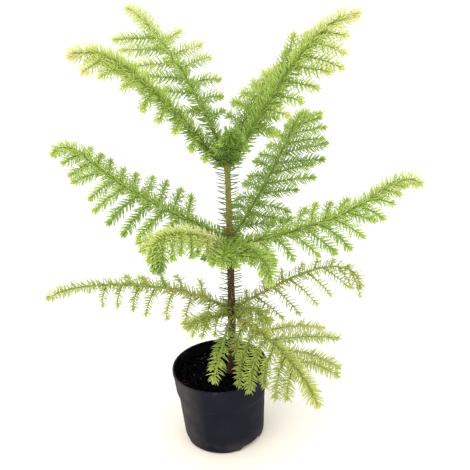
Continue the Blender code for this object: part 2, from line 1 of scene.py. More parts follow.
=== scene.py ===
"""A young Norfolk Island pine in a round nursery pot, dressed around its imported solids.

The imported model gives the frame: the pot, its soil, the trunk, the boughs and the masses of foliage. Each of
them is replaced here by finer pieces in the same place. The fronds grow again by the rule of the solids, from
the same named sizes and the same seeds, and every twig carries its own needles.

Everything is in metres and degrees, with +Z up and the origin under the middle of the pot.
"""

import logging
import math
import random
from collections import defaultdict
from dataclasses import dataclass, field, replace
from enum import Enum
from functools import cache

import bmesh
import bpy
import numpy as np
from mathutils import Matrix, Vector, noise


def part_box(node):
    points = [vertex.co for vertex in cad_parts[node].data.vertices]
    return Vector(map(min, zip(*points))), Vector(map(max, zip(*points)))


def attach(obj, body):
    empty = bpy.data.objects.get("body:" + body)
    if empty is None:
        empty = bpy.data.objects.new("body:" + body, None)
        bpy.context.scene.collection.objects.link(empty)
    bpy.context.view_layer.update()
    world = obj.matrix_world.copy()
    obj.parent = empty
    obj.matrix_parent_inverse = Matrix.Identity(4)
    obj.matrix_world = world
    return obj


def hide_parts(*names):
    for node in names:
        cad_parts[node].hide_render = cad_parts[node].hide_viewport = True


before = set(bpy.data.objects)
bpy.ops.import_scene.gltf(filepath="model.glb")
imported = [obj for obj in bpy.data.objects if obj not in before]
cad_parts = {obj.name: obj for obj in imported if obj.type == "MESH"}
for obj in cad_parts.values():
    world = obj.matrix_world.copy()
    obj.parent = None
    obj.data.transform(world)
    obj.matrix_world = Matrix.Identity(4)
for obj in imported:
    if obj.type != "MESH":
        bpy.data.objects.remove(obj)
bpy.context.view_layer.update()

BODY = "root"
UP = np.array((0.0, 0.0, 1.0))
NEARLY_UP = UP + 0.01
TINY = 1e-9
STEEP = 0.1
HEADING_REACH = 0.02
CENTIMETRE = 0.01
FULL_TURN = 360.0
QUARTER_TURN = 90.0
GOLDEN_TURN = 137.5

Colour = tuple[float, float, float]
Place = tuple[float, float, float]
Span = tuple[float, float]
Stops = tuple[tuple[float, Colour], ...]

EVEN: Place = (1.0, 1.0, 1.0)
WHITE: Colour = (1.0, 1.0, 1.0)

log = logging.getLogger("norfolk_island_pine")


# Named choices


class Choice(Enum):
    """A choice whose name stands in the names of pieces and finishes."""

    @property
    def label(self) -> str:
        """The name in small letters."""
        return self.name.lower()


class Whorl(Choice):
    """The three whorls of fronds, each with what its needles' colours are multiplied by."""

    TOP = (1.10, 1.05, 1.20)
    MIDDLE = (1.08, 1.05, 1.18)
    LOW = (1.18, 0.98, 1.20)


class NeedleTint(Choice):
    """Needle colours, from the shaded heart of the crown to the newest tips."""

    HEART = (0.110, 0.210, 0.026)
    DEEP = (0.180, 0.310, 0.042)
    MATURE = (0.260, 0.400, 0.058)
    LEAF = (0.345, 0.490, 0.080)
    FRESH = (0.440, 0.575, 0.108)
    BRIGHT = (0.570, 0.662, 0.175)
    TIP = (0.690, 0.732, 0.285)


class TwigTint(Choice):
    """Colours of the twigs, from the trunk outwards, and the tan of the low whorl's stems."""

    BROWN = (0.200, 0.140, 0.045)
    OLIVE = (0.240, 0.240, 0.055)
    GREEN = (0.270, 0.370, 0.065)
    TAN = (0.400, 0.330, 0.120)


# Mesh tools


def unit(vectors: np.ndarray) -> np.ndarray:
    """The same vectors, one or one to a row, scaled to length 1."""
    return vectors / np.maximum(np.linalg.norm(vectors, axis=-1, keepdims=True), TINY)


def smooth_step(low: float, high: float, value: np.ndarray | float) -> np.ndarray | float:
    """A step that goes smoothly from 0 where the value is low to 1 where it is high."""
    part = np.clip((value - low) / (high - low), 0.0, 1.0)
    return part * part * (3.0 - 2.0 * part)


def number_source(name: str) -> np.random.Generator:
    """A source of random numbers that its name seeds, the same on each run."""
    return np.random.default_rng(random.Random(name).getrandbits(32))


def bearings(sides: int) -> np.ndarray:
    """The bearings of evenly spaced points round a ring, in radians."""
    return 2.0 * math.pi * np.arange(sides) / sides


def ring_noise(turn: np.ndarray, along: np.ndarray, waves: float) -> np.ndarray:
    """Noise all over a round bar, one ring to a row, with a number of waves round it."""
    around = [(waves * math.cos(angle), waves * math.sin(angle)) for angle in turn]
    return np.array([[noise.noise(Vector((x, y, place))) for x, y in around] for place in along])


def grid_faces(rings: int, sides: int) -> tuple[np.ndarray, ...]:
    """Numbers the faces of a closed tube of rings.

    Args:
        rings: How many rings there are.
        sides: How many vertices a ring has.

    Returns:
        The quads between rings and the two end faces.
    """
    side = np.arange(sides)
    beside = (side + 1) % sides
    lower = (np.arange(rings - 1) * sides)[:, None]
    quads = np.stack([lower + side, lower + beside, lower + sides + beside, lower + sides + side], axis=-1)
    return quads.reshape(-1, 4), side[None, ::-1].copy(), (side + (rings - 1) * sides)[None, :]


def small_ball() -> tuple[np.ndarray, np.ndarray]:
    """Makes the plainest round ball.

    Returns:
        Its vertices and its triangles, one to a row.
    """
    maker = bmesh.new()
    bmesh.ops.create_icosphere(maker, subdivisions=1, radius=1.0)
    maker.verts.index_update()
    points = np.array([vert.co for vert in maker.verts])
    faces = np.array([[vert.index for vert in face.verts] for face in maker.faces])
    maker.free()
    return points, faces


class Line:
    """A curve in space as close points, read by distance along it."""

    def __init__(self, points: np.ndarray) -> None:
        """Measures the curve.

        Args:
            points: The curve's points, one to a row.
        """
        self.points = points
        steps = np.linalg.norm(np.diff(points, axis=0), axis=1)
        self.marks = np.concatenate(([0.0], np.cumsum(steps)))
        self.length = float(self.marks[-1])

    def at(self, distance: np.ndarray) -> np.ndarray:
        """The points at distances from the start, one to a row."""
        return np.stack([np.interp(distance, self.marks, self.points[:, k]) for k in range(3)], axis=-1)

    def heading(self, distance: np.ndarray) -> np.ndarray:
        """Finds the curve's direction.

        Args:
            distance: Distances from the start.

        Returns:
            Unit vectors towards the curve's end, one to a row.
        """
        reach = self.length * HEADING_REACH
        ahead = self.at(np.minimum(distance + reach, self.length))
        behind = self.at(np.maximum(distance - reach, 0.0))
        return unit(ahead - behind)


@dataclass
class MeshBatch:
    """Vertices and faces gathered from many shapes, made into one object at the end."""

    points: list[np.ndarray] = field(default_factory=list)
    faces: list[np.ndarray] = field(default_factory=list)
    count: int = 0

    def add(self, points: np.ndarray, *faces: np.ndarray) -> None:
        """Adds a shape.

        Args:
            points: Its vertices, one to a row.
            faces: Arrays of vertex numbers, one face to a row, each array with its own count of corners.
        """
        self.points.append(points)
        self.faces.extend(group + self.count for group in faces)
        self.count += len(points)

    def add_tube(self, points: np.ndarray, radii: np.ndarray, sides: int) -> None:
        """Adds a closed tube along points.

        Args:
            points: The tube's centre line, one point to a row.
            radii: A radius for each point, or for each point and side.
            sides: How many sides the tube has.
        """
        headings = unit(np.gradient(points, axis=0))
        across = np.empty_like(headings)
        guide = np.cross(headings[0], UP)
        if np.linalg.norm(guide) < STEEP:
            guide = np.array((1.0, 0.0, 0.0))
        for i, heading in enumerate(headings):
            guide = unit(guide - heading * np.dot(guide, heading))
            across[i] = guide
        upright = np.cross(headings, across)
        turn = bearings(sides)[:, None]
        spokes = across[:, None] * np.cos(turn) + upright[:, None] * np.sin(turn)
        radii = radii if radii.ndim == 2 else radii[:, None]
        body = points[:, None] + spokes * radii[:, :, None]
        self.add(body.reshape(-1, 3), *grid_faces(len(points), sides))

    def build(self, name: str, material: bpy.types.Material) -> bpy.types.Object:
        """Makes the object.

        Args:
            name: The object's name.
            material: Its finish.

        Returns:
            A smooth-shaded mesh object in the scene.
        """
        mesh = bpy.data.meshes.new(name)
        points = np.concatenate(self.points).astype(np.float32)
        corners = np.concatenate([group.ravel() for group in self.faces]).astype(np.int32)
        sizes = np.concatenate([np.full(len(group), group.shape[1]) for group in self.faces])
        starts = np.concatenate(([0], np.cumsum(sizes)[:-1])).astype(np.int32)
        mesh.vertices.add(len(points))
        mesh.vertices.foreach_set("co", points.ravel())
        mesh.loops.add(len(corners))
        mesh.loops.foreach_set("vertex_index", corners)
        mesh.polygons.add(len(starts))
        mesh.polygons.foreach_set("loop_start", starts)
        mesh.update(calc_edges=True)
        mesh.shade_smooth()
        mesh.materials.append(material)
        thing = bpy.data.objects.new(name, mesh)
        bpy.context.scene.collection.objects.link(thing)
        return thing

    def mount(self, name: str, material: bpy.types.Material, slot: str, *nodes: str) -> None:
        """Makes a piece, sets it on the plant's body and hides the solids that it replaces.

        Args:
            name: The piece's name.
            material: Its finish.
            slot: Not used.
            nodes: The solids that it replaces.
        """
        piece = self.build(name, material)
        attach(piece, BODY)
        if nodes:
            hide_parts(*nodes)
        log.info("%s: %d triangles", name, sum(len(face.vertices) - 2 for face in piece.data.polygons))


# Finishes


@dataclass(frozen=True)
class Band:
    """A range of a value, from low to high, and what it is mapped to, from least to most."""

    low: float
    high: float
    least: float = 0.0
    most: float = 1.0


@dataclass(frozen=True)
class Mottle:
    """Patches of noise: its waves to a metre, the band read off it, its finer octaves and its squeeze."""

    scale: float
    band: Band
    detail: float = 4.0
    stretch: Place = EVEN


@dataclass(frozen=True)
class Relief:
    """Fine relief from noise: its waves to a metre, how much it counts and its depth in metres."""

    scale: float
    strength: float
    depth: float
    detail: float = 4.0
    stretch: Place = EVEN


class Shader:
    """A material's node tree, with short calls that add nodes to it.

    mix_colours and mix_result are the numbers of the colour sockets on a node that mixes colours.
    """

    mix_colours: tuple[int, int] = (6, 7)
    mix_result: int = 2

    def __init__(self, name: str, colour: Colour, roughness: float, specular: float) -> None:
        """Makes a material with one Principled BSDF.

        Args:
            name: The material's name.
            colour: Its base colour.
            roughness: Its roughness.
            specular: Its specular level.
        """
        self.material = bpy.data.materials.new(name)
        self.material.use_nodes = True
        self.tree = self.material.node_tree
        self.surface = self.tree.nodes["Principled BSDF"]
        self.surface.inputs["Base Color"].default_value = (*colour, 1.0)
        self.surface.inputs["Roughness"].default_value = roughness
        self.surface.inputs["Specular IOR Level"].default_value = specular
        self.material.diffuse_color = (*colour, 1.0)

    def feed(self, socket: bpy.types.NodeSocket, value: object) -> None:
        """Gives an input a value or joins it to another node's output.

        Args:
            socket: The input.
            value: A plain value or a socket.
        """
        if isinstance(value, bpy.types.NodeSocket):
            self.tree.links.new(value, socket)
        else:
            socket.default_value = value

    def node(self, kind: str, **inputs: object) -> bpy.types.Node:
        """Adds a node.

        Args:
            kind: The node's type.
            inputs: Values or sockets for its inputs, by name with _ for a space.

        Returns:
            The node.
        """
        made = self.tree.nodes.new(kind)
        for name, value in inputs.items():
            self.feed(made.inputs[name.replace("_", " ")], value)
        return made

    def work_out(self, kind: str, operation: str, *values: object) -> bpy.types.NodeSocket:
        """Adds a node that works a number out.

        Args:
            kind: The node's type.
            operation: What it does.
            values: The plain values or sockets that it does it to.

        Returns:
            The result's socket.
        """
        made = self.tree.nodes.new(kind)
        made.operation = operation
        for socket, value in zip(made.inputs, values):
            self.feed(socket, value)
        return made.outputs["Value"]

    def times(self, *values: object) -> bpy.types.NodeSocket:
        """The product of two values."""
        return self.work_out("ShaderNodeMath", "MULTIPLY", *values)

    def plus(self, *values: object) -> bpy.types.NodeSocket:
        """The sum of two values."""
        return self.work_out("ShaderNodeMath", "ADD", *values)

    def place(self) -> bpy.types.NodeSocket:
        """The place on the piece, which is also its place in the scene."""
        return self.node("ShaderNodeTexCoord").outputs["Object"]

    def along(self, axis: str) -> bpy.types.NodeSocket:
        """The place along one axis, in metres."""
        return self.node("ShaderNodeSeparateXYZ", Vector=self.place()).outputs[axis]

    def noise(self, pattern: Mottle | Relief) -> bpy.types.NodeSocket:
        """Adds a pattern's noise.

        Args:
            pattern: What has the noise's sizes.

        Returns:
            A socket from 0 to 1.
        """
        where = self.node("ShaderNodeMapping", Vector=self.place(), Scale=pattern.stretch).outputs["Vector"]
        made = self.node("ShaderNodeTexNoise", Vector=where, Scale=pattern.scale, Detail=pattern.detail)
        return made.outputs["Fac"]

    def spread(self, value: bpy.types.NodeSocket, band: Band) -> bpy.types.NodeSocket:
        """Maps a value by a band.

        Args:
            value: The value.
            band: What it is mapped from and to.

        Returns:
            The mapped value, held between the band's least and most.
        """
        made = self.node("ShaderNodeMapRange", Value=value, From_Min=band.low, From_Max=band.high,
                         To_Min=band.least, To_Max=band.most)
        return made.outputs["Result"]

    def mottle(self, pattern: Mottle) -> bpy.types.NodeSocket:
        """The strength of a pattern's patches."""
        return self.spread(self.noise(pattern), pattern.band)

    def ramp(self, value: bpy.types.NodeSocket, stops: Stops) -> bpy.types.NodeSocket:
        """Colours a value.

        Args:
            value: The value, from 0 to 1.
            stops: Places along the ramp and their colours.

        Returns:
            A colour socket.
        """
        made = self.node("ShaderNodeValToRGB", Fac=value)
        steps = made.color_ramp.elements
        while len(steps) < len(stops):
            steps.new(0.5)
        for step, (place, colour) in zip(steps, stops):
            step.position = place
            step.color = (*colour, 1.0)
        return made.outputs["Color"]

    def blend(self, part: bpy.types.NodeSocket, first: object, second: object) -> bpy.types.NodeSocket:
        """Mixes two colours.

        Args:
            part: How much of the second colour there is.
            first: A colour or a socket.
            second: A colour or a socket.

        Returns:
            A colour socket.
        """
        made = self.tree.nodes.new("ShaderNodeMix")
        made.data_type = "RGBA"
        self.feed(made.inputs["Factor"], part)
        for number, colour in zip(self.mix_colours, (first, second)):
            self.feed(made.inputs[number], (*colour, 1.0) if isinstance(colour, tuple) else colour)
        return made.outputs[self.mix_result]

    def dress(self, colour: bpy.types.NodeSocket, relief: Relief | None = None,
              dullness: Mottle | None = None) -> bpy.types.Material:
        """Joins what was made to the surface.

        Args:
            colour: The surface's colour.
            relief: Its fine relief, if it has any.
            dullness: How its roughness varies, if it does.

        Returns:
            The finished material.
        """
        self.feed(self.surface.inputs["Base Color"], colour)
        if dullness:
            self.feed(self.surface.inputs["Roughness"], self.mottle(dullness))
        if relief:
            made = self.node("ShaderNodeBump", Height=self.noise(relief), Strength=relief.strength,
                             Distance=relief.depth)
            self.feed(self.surface.inputs["Normal"], made.outputs["Normal"])
        return self.material


@dataclass(frozen=True)
class NeedleFinish:
    """Soft, faintly waxy needles in one plain tint."""

    tint: NeedleTint
    whorl: Whorl
    roughness: float = 0.50
    specular: float = 0.35

    def material(self) -> bpy.types.Material:
        """Makes the material.

        Returns:
            A plain green with its whorl's cast.
        """
        colour = tuple(a * b for a, b in zip(self.tint.value, self.whorl.value))
        name = f"{self.whorl.label}_needle_{self.tint.label}"
        return Shader(name, colour, self.roughness, self.specular).material


@dataclass(frozen=True)
class TwigFinish:
    """Smooth twigs in one tint, a little darker in patches."""

    tint: TwigTint
    shade: float = 0.72
    roughness: float = 0.60
    specular: float = 0.25
    patches: Mottle = Mottle(350.0, Band(0.40, 0.65))

    @cache
    def material(self) -> bpy.types.Material:
        """Makes the material, once for all the twigs in its tint.

        Returns:
            The tint with its darker patches.
        """
        made = Shader(f"twig_{self.tint.label}", self.tint.value, self.roughness, self.specular)
        darker = tuple(self.shade * value for value in self.tint.value)
        return made.dress(made.blend(made.mottle(self.patches), self.tint.value, darker))


@dataclass(frozen=True)
class BarkFinish:
    """Young bark: dark red-brown at the foot, olive higher up, with pale flecks and dark cracks."""

    height: Band = Band(0.075, 0.330)
    wander: Mottle = Mottle(160.0, Band(0.3, 0.7, -0.010, 0.010))
    stops: Stops = (
        (0.00, (0.040, 0.014, 0.008)),
        (0.50, (0.075, 0.026, 0.012)),
        (0.60, (0.120, 0.060, 0.020)),
        (0.72, (0.225, 0.170, 0.036)),
        (0.90, (0.200, 0.190, 0.040)),
        (1.00, (0.120, 0.160, 0.034)),
    )
    crack: Colour = (0.035, 0.018, 0.010)
    cracks: Mottle = Mottle(900.0, Band(0.60, 0.72, most=0.75), 6.0, (1.0, 1.0, 0.22))
    fleck: Colour = (0.330, 0.260, 0.130)
    flecks: Mottle = Mottle(1500.0, Band(0.66, 0.74, most=0.55), 3.0, (1.0, 1.0, 0.5))
    roughness: float = 0.75
    specular: float = 0.25
    dullness: Mottle = Mottle(700.0, Band(0.3, 0.7, 0.62, 0.88))
    relief: Relief = Relief(1200.0, 0.5, 0.0004, 6.0, (1.0, 1.0, 0.25))

    def material(self) -> bpy.types.Material:
        """Makes the material.

        Returns:
            The bark, coloured by a height that wanders a little.
        """
        made = Shader("trunk_bark", self.stops[1][1], self.roughness, self.specular)
        level = made.plus(made.along("Z"), made.mottle(self.wander))
        body = made.ramp(made.spread(level, self.height), self.stops)
        body = made.blend(made.mottle(self.cracks), body, self.crack)
        body = made.blend(made.mottle(self.flecks), body, self.fleck)
        return made.dress(body, self.relief, self.dullness)


@dataclass(frozen=True)
class LimbFinish:
    """Smooth young bark of a whorl's boughs, in two colours with dark marks."""

    whorl: Whorl
    first: Colour
    second: Colour
    dark: Colour = (0.070, 0.038, 0.018)
    roughness: float = 0.70
    specular: float = 0.25
    patches: Mottle = Mottle(220.0, Band(0.35, 0.65))
    marks: Mottle = Mottle(1400.0, Band(0.60, 0.72, most=0.6), 5.0)
    relief: Relief = Relief(1600.0, 0.4, 0.0003, 5.0)

    @cache
    def material(self) -> bpy.types.Material:
        """Makes the material, once for all the whorl's boughs.

        Returns:
            The bough's bark.
        """
        made = Shader(f"{self.whorl.label}_bough_bark", self.second, self.roughness, self.specular)
        body = made.blend(made.mottle(self.patches), self.first, self.second)
        return made.dress(made.blend(made.mottle(self.marks), body, self.dark), self.relief)


@dataclass(frozen=True)
class PotFinish:
    """Thin black moulded plastic, dull, with dried dust on its rim and round its foot, dust and a painted
    sheen of the light from the left down its left side, and painted shade inside it and in the step under its
    collar.
    """

    plastic: Colour = (0.0056, 0.0070, 0.0126)
    bloom: Colour = (0.0100, 0.0118, 0.0184)
    blooms: Mottle = Mottle(45.0, Band(0.35, 0.70, most=0.9), 6.0)
    # Dust with a painted sheen of the light from the left, on the pot's left (-X) side, in patches.
    haze: Colour = (0.0600, 0.0520, 0.0480)
    hazes: Mottle = Mottle(70.0, Band(0.30, 0.62, 0.35), 7.0)
    dusty_side: Band = Band(-0.018, -0.040, most=0.85)
    dust: Colour = (0.150, 0.095, 0.080)
    grit: Mottle = Mottle(420.0, Band(0.50, 0.68), 8.0)
    dusty_patches: Mottle = Mottle(38.0, Band(0.50, 0.66), 3.0)
    near_rim: Band = Band(0.075, 0.085, most=0.75)
    scuff: Colour = (0.060, 0.045, 0.050)
    scuffs: Mottle = Mottle(60.0, Band(0.46, 0.60), 7.0)
    near_foot: Band = Band(0.016, 0.001, most=0.8)
    # Painted shade, laid on the pot's inner faces and in the step under its collar, where it dulls the light
    # that the step catches.
    shade: Colour = (0.0022, 0.0024, 0.0036)
    groove_floor: Band = Band(0.0530, 0.0550, most=0.20)
    groove_roof: Band = Band(0.0610, 0.0595)
    inwards: Band = Band(-0.010, -0.030)
    roughness: float = 0.55
    specular: float = 0.07
    dullness: Mottle = Mottle(90.0, Band(0.3, 0.7, 0.52, 0.72), 6.0)
    relief: Relief = Relief(1100.0, 0.12, 0.0002)

    def inside(self, made: Shader) -> bpy.types.NodeSocket:
        """Finds the pot's inner faces, where shade is painted.

        Args:
            made: The shader.

        Returns:
            1 where a face looks towards the pot's axis and 0 elsewhere.
        """
        normal = made.node("ShaderNodeTexCoord").outputs["Normal"]
        facing = made.work_out("ShaderNodeVectorMath", "DOT_PRODUCT", made.place(), normal)
        return made.spread(facing, self.inwards)

    def material(self) -> bpy.types.Material:
        """Makes the material.

        Returns:
            The plastic with its bloom, dust and painted sheen on the left, painted shade, rim dust and scuffs,
            one over the other.
        """
        made = Shader("pot_plastic", self.plastic, self.roughness, self.specular)
        height = made.along("Z")
        # Where the dust and painted sheen lie on the left side.
        left_dust_and_sheen_mask = made.times(made.spread(made.along("X"), self.dusty_side), made.mottle(self.hazes))
        # Painted shade in the step under the collar.
        painted_groove_shade = made.times(made.spread(height, self.groove_floor), made.spread(height, self.groove_roof))
        dusty = made.times(made.mottle(self.grit), made.spread(height, self.near_rim))
        body = made.blend(made.mottle(self.blooms), self.plastic, self.bloom)
        for part, colour in (
            # dust and painted sheen down the left side
            (left_dust_and_sheen_mask, self.haze),
            # painted shade on the inner faces
            (self.inside(made), self.shade),
            # painted shade in the step
            (painted_groove_shade, self.shade),
            (made.times(dusty, made.mottle(self.dusty_patches)), self.dust),
            (made.times(made.mottle(self.scuffs), made.spread(height, self.near_foot)), self.scuff),
        ):
            body = made.blend(part, body, colour)
        return made.dress(body, self.relief, self.dullness)


@dataclass(frozen=True)
class PeatFinish:
    """Moist peat, almost black, with dull brown fibre here and there."""

    dark: Colour = (0.0006, 0.0006, 0.0018)
    brown: Colour = (0.0034, 0.0026, 0.0030)
    patches: Mottle = Mottle(260.0, Band(0.48, 0.70), 8.0)
    roughness: float = 0.95
    specular: float = 0.0
    dullness: Mottle = Mottle(800.0, Band(0.3, 0.7, 0.80, 1.00))
    relief: Relief = Relief(900.0, 0.9, 0.0010, 10.0)

    def material(self) -> bpy.types.Material:
        """Makes the material.

        Returns:
            The peat's dark surface.
        """
        made = Shader("moist_peat", self.dark, self.roughness, self.specular)
        body = made.blend(made.mottle(self.patches), self.dark, self.brown)
        return made.dress(body, self.relief, self.dullness)


@dataclass(frozen=True)
class GrainFinish:
    """A loose grain: a plain body with darker pits."""

    name: str
    body: Colour
    pit: Colour
    pits: Mottle = Mottle(1800.0, Band(0.45, 0.65))
    roughness: float = 0.90
    specular: float = 0.05
    relief: Relief = Relief(2500.0, 0.6, 0.0003)

    def material(self) -> bpy.types.Material:
        """Makes the material."""
        made = Shader(self.name, self.body, self.roughness, self.specular)
        return made.dress(made.blend(made.mottle(self.pits), self.body, self.pit), self.relief)


# Pot


@dataclass(frozen=True)
class NurseryPot:
    """The round pot: foot, tapered body, step, collar and lip, turned about its axis, with low drain notches.

    The foot stands on a ring round a shallow recess. The rim is warped into a slight oval with ripples, more
    and more over warp_rise, and the notches lift the ring and fade out over notch_fade.
    """

    rim_radius: float
    height: float
    foot_radius: float = 0.0408
    foot_rounding: float = 0.0042
    foot_fillet: float = 0.0006
    ring_width: float = 0.0070
    ring_slope: float = 0.0010
    body_top_radius: float = 0.0478
    body_top: float = 0.0545
    collar_radius: float = 0.0500
    collar_bottom: float = 0.0590
    lip_proud: float = 0.0006
    lip_height: float = 0.0030
    wall: float = 0.0011
    floor: float = 0.0018
    floor_rounding: float = 0.0040
    recess: float = 0.0010
    fillet: float = 0.0024
    lip_fillet: float = 0.00035
    fillet_steps: int = 5
    fillet_most: float = 0.45
    sides: int = 192
    warp: float = 0.00035
    warp_rise: Span = (0.020, 0.085)
    oval_part: float = 0.5
    oval_turn: float = 0.7
    ripples: int = 5
    ripple_part: float = 0.25
    notches: int = 3
    notch_bearing: float = -47.0
    notch_half_width: float = 17.0
    notch_softness: float = 4.0
    notch_depth: float = 0.0027
    notch_reach: Span = (0.010, 0.004)
    notch_fade: Span = (0.004, 0.014)

    @classmethod
    def from_frame(cls) -> "NurseryPot":
        """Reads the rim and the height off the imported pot."""
        low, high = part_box("pot")
        return cls(rim_radius=(high.x - low.x) / 2.0, height=high.z)

    def corners(self) -> list[Place]:
        """Lists the profile's corners.

        Returns:
            Radius, height and fillet of each corner, from the underside's middle round to the inside's.
        """
        foot = self.foot_radius + self.foot_rounding
        ring = self.foot_radius - self.ring_width
        rim = self.rim_radius
        under_lip = self.height - self.lip_height
        inner = rim - self.lip_proud - self.wall
        return [
            (0.0, self.recess, 0.0),
            (ring - self.ring_slope, self.recess, self.foot_fillet),
            (ring, 0.0, self.foot_fillet),
            (foot - self.foot_fillet, 0.0, self.foot_rounding),
            (self.body_top_radius, self.body_top, self.fillet),
            (self.collar_radius, self.collar_bottom, self.fillet),
            (rim - self.lip_proud, under_lip - self.lip_proud, self.lip_fillet),
            (rim, under_lip, self.lip_fillet),
            (rim, self.height, self.lip_fillet),
            (inner, self.height, self.lip_fillet),
            (self.collar_radius - self.wall, self.collar_bottom + self.wall, self.fillet),
            (self.body_top_radius - self.wall, self.body_top + self.wall, self.fillet),
            (foot - self.wall, self.foot_rounding + self.floor, self.fillet),
            (foot - self.wall - self.floor_rounding, self.floor, self.fillet),
            (0.0, self.floor, 0.0),
        ]

    def profile(self) -> np.ndarray:
        """Rounds the corners.

        Returns:
            Radius and height of the profile's points, one to a row, without the two on the axis.
        """
        corners = self.corners()
        points = []
        for before, here, after in zip(corners, corners[1:], corners[2:]):
            corner = Vector(here[:2])
            back = Vector(before[:2]) - corner
            ahead = Vector(after[:2]) - corner
            start = corner + back.normalized() * min(here[2], self.fillet_most * back.length)
            end = corner + ahead.normalized() * min(here[2], self.fillet_most * ahead.length)
            for step in range(self.fillet_steps + 1):
                part = step / self.fillet_steps
                points.append(tuple(start.lerp(corner, part).lerp(corner.lerp(end, part), part)))
        return np.array(points)

    def notch_lift(self, radius: np.ndarray, height: np.ndarray, turn: np.ndarray) -> np.ndarray:
        """Works out how far the drain notches lift the foot between the pot's low feet.

        Args:
            radius: Distance of each point from the pot's axis.
            height: Height of each point.
            turn: Bearing of each column of points, in radians.

        Returns:
            The lift of each point.
        """
        pitch = FULL_TURN / self.notches
        away = (np.degrees(turn) - self.notch_bearing) / pitch
        away = np.abs(away - np.round(away)) * pitch
        edge = self.notch_half_width
        across = 1.0 - smooth_step(edge - self.notch_softness, edge + self.notch_softness, away)
        start, full = (self.foot_radius - reach for reach in self.notch_reach)
        return self.notch_depth * across * smooth_step(start, full, radius) \
            * (1.0 - smooth_step(*self.notch_fade, height))

    def build(self) -> None:
        """Turns the profile and warps it a little, as thin plastic is."""
        outline = self.profile()
        turn = bearings(self.sides)
        radius, height = (column[:, None] * np.ones(self.sides) for column in outline.T)
        oval = self.oval_part * (np.cos(2.0 * turn + self.oval_turn) - 1.0)
        ripple = self.ripple_part * (np.cos(self.ripples * turn) - 1.0)
        radius = radius + self.warp * smooth_step(*self.warp_rise, height) * (oval + ripple)
        height = height + self.notch_lift(radius, height, turn)
        points = np.stack([radius * np.cos(turn), radius * np.sin(turn), height], axis=-1)
        batch = MeshBatch()
        batch.add(points.reshape(-1, 3), *grid_faces(len(outline), self.sides))
        batch.mount("pot_shell", PotFinish().material(), "pot_plastic", "pot")


# Peat and what lies on it


@dataclass(frozen=True)
class Litter:
    """Loose grains of one kind that lie on the peat.

    Their radii go from least to most, and few are large where rarity is large. They are flatness thick for
    their width, and crowd towards the rim where crowding is large. Their corners are moved by roughness, and
    spin and tilt are the most that a grain is turned, in radians. raised is how far its middle stands out.
    """

    name: str
    seed: str
    count: int
    least: float
    most: float
    flatness: float
    crowding: float
    finish: GrainFinish
    rarity: float = 2.2
    rim_gap: float = 0.0004
    roughness: float = 0.32
    narrowness: Span = (0.55, 0.95)
    spin: float = 6.28
    tilt: float = 0.5
    raised: float = 0.35

    def build(self, bed: "PeatBed") -> None:
        """Lays the grains on the peat.

        Args:
            bed: The peat.
        """
        rng = number_source(self.seed)
        points, faces = small_ball()
        batch = MeshBatch()
        for _ in range(self.count):
            radius = self.least + (self.most - self.least) * rng.random() ** self.rarity
            out = (bed.edge_radius - radius - self.rim_gap) * rng.random() ** (0.5 / (1.0 + self.crowding))
            turn = rng.random() * 2.0 * math.pi
            x, y = out * math.cos(turn), out * math.sin(turn)
            shape = points * (1.0 + rng.uniform(-self.roughness, self.roughness, (len(points), 1)))
            shape = shape * np.array((1.0, rng.uniform(*self.narrowness), self.flatness))
            spin = Matrix.Rotation(rng.random() * self.spin, 3, "Z")
            tilt = Matrix.Rotation(rng.uniform(-self.tilt, self.tilt), 3, "X")
            shape = shape @ np.array(spin @ tilt).T * radius
            batch.add(shape + (x, y, bed.surface(x, y) + self.raised * radius * self.flatness), faces)
        batch.mount(self.name, self.finish.material(), "potting_soil")


@dataclass(frozen=True)
class Fibres:
    """Short bent fibres that lie on the peat and arch a little off it.

    Each is drawn with steps points and bent by up to bend, in radians. None crosses the edge_gap at the rim.
    """

    count: int = 160
    rim_gap: float = 0.006
    edge_gap: float = 0.001
    length: Span = (0.003, 0.009)
    bend: float = 1.2
    steps: int = 6
    raised: float = 0.0003
    arch: float = 0.0010
    radius: float = 0.00014
    taper: float = 0.6
    sides: int = 4
    finish: GrainFinish = GrainFinish("peat_fibre", (0.020, 0.011, 0.007), (0.008, 0.005, 0.004))

    def build(self, bed: "PeatBed") -> None:
        """Lays the fibres on the peat.

        Args:
            bed: The peat.
        """
        rng = number_source("fibres")
        batch = MeshBatch()
        steps = np.linspace(0.0, 1.0, self.steps)
        for _ in range(self.count):
            out = (bed.edge_radius - self.rim_gap) * math.sqrt(rng.random())
            turn = rng.random() * 2.0 * math.pi
            start = np.array((out * math.cos(turn), out * math.sin(turn)))
            way = rng.random() * 2.0 * math.pi
            length = rng.uniform(*self.length)
            bearing = way + rng.uniform(-self.bend, self.bend) * steps
            reach = np.stack([np.cos(bearing), np.sin(bearing)], axis=-1) * (steps * length)[:, None]
            flat = start + reach
            out = np.linalg.norm(flat, axis=1)
            flat *= np.minimum(1.0, (bed.edge_radius - self.edge_gap) / out)[:, None]
            heights = [bed.surface(x, y) + self.raised + self.arch * math.sin(math.pi * part) * rng.random()
                       for (x, y), part in zip(flat, steps)]
            radii = self.radius * (1.0 - self.taper * steps)
            batch.add_tube(np.column_stack([flat, heights]), radii, self.sides)
        batch.mount("peat_fibres", self.finish.material(), "potting_soil")


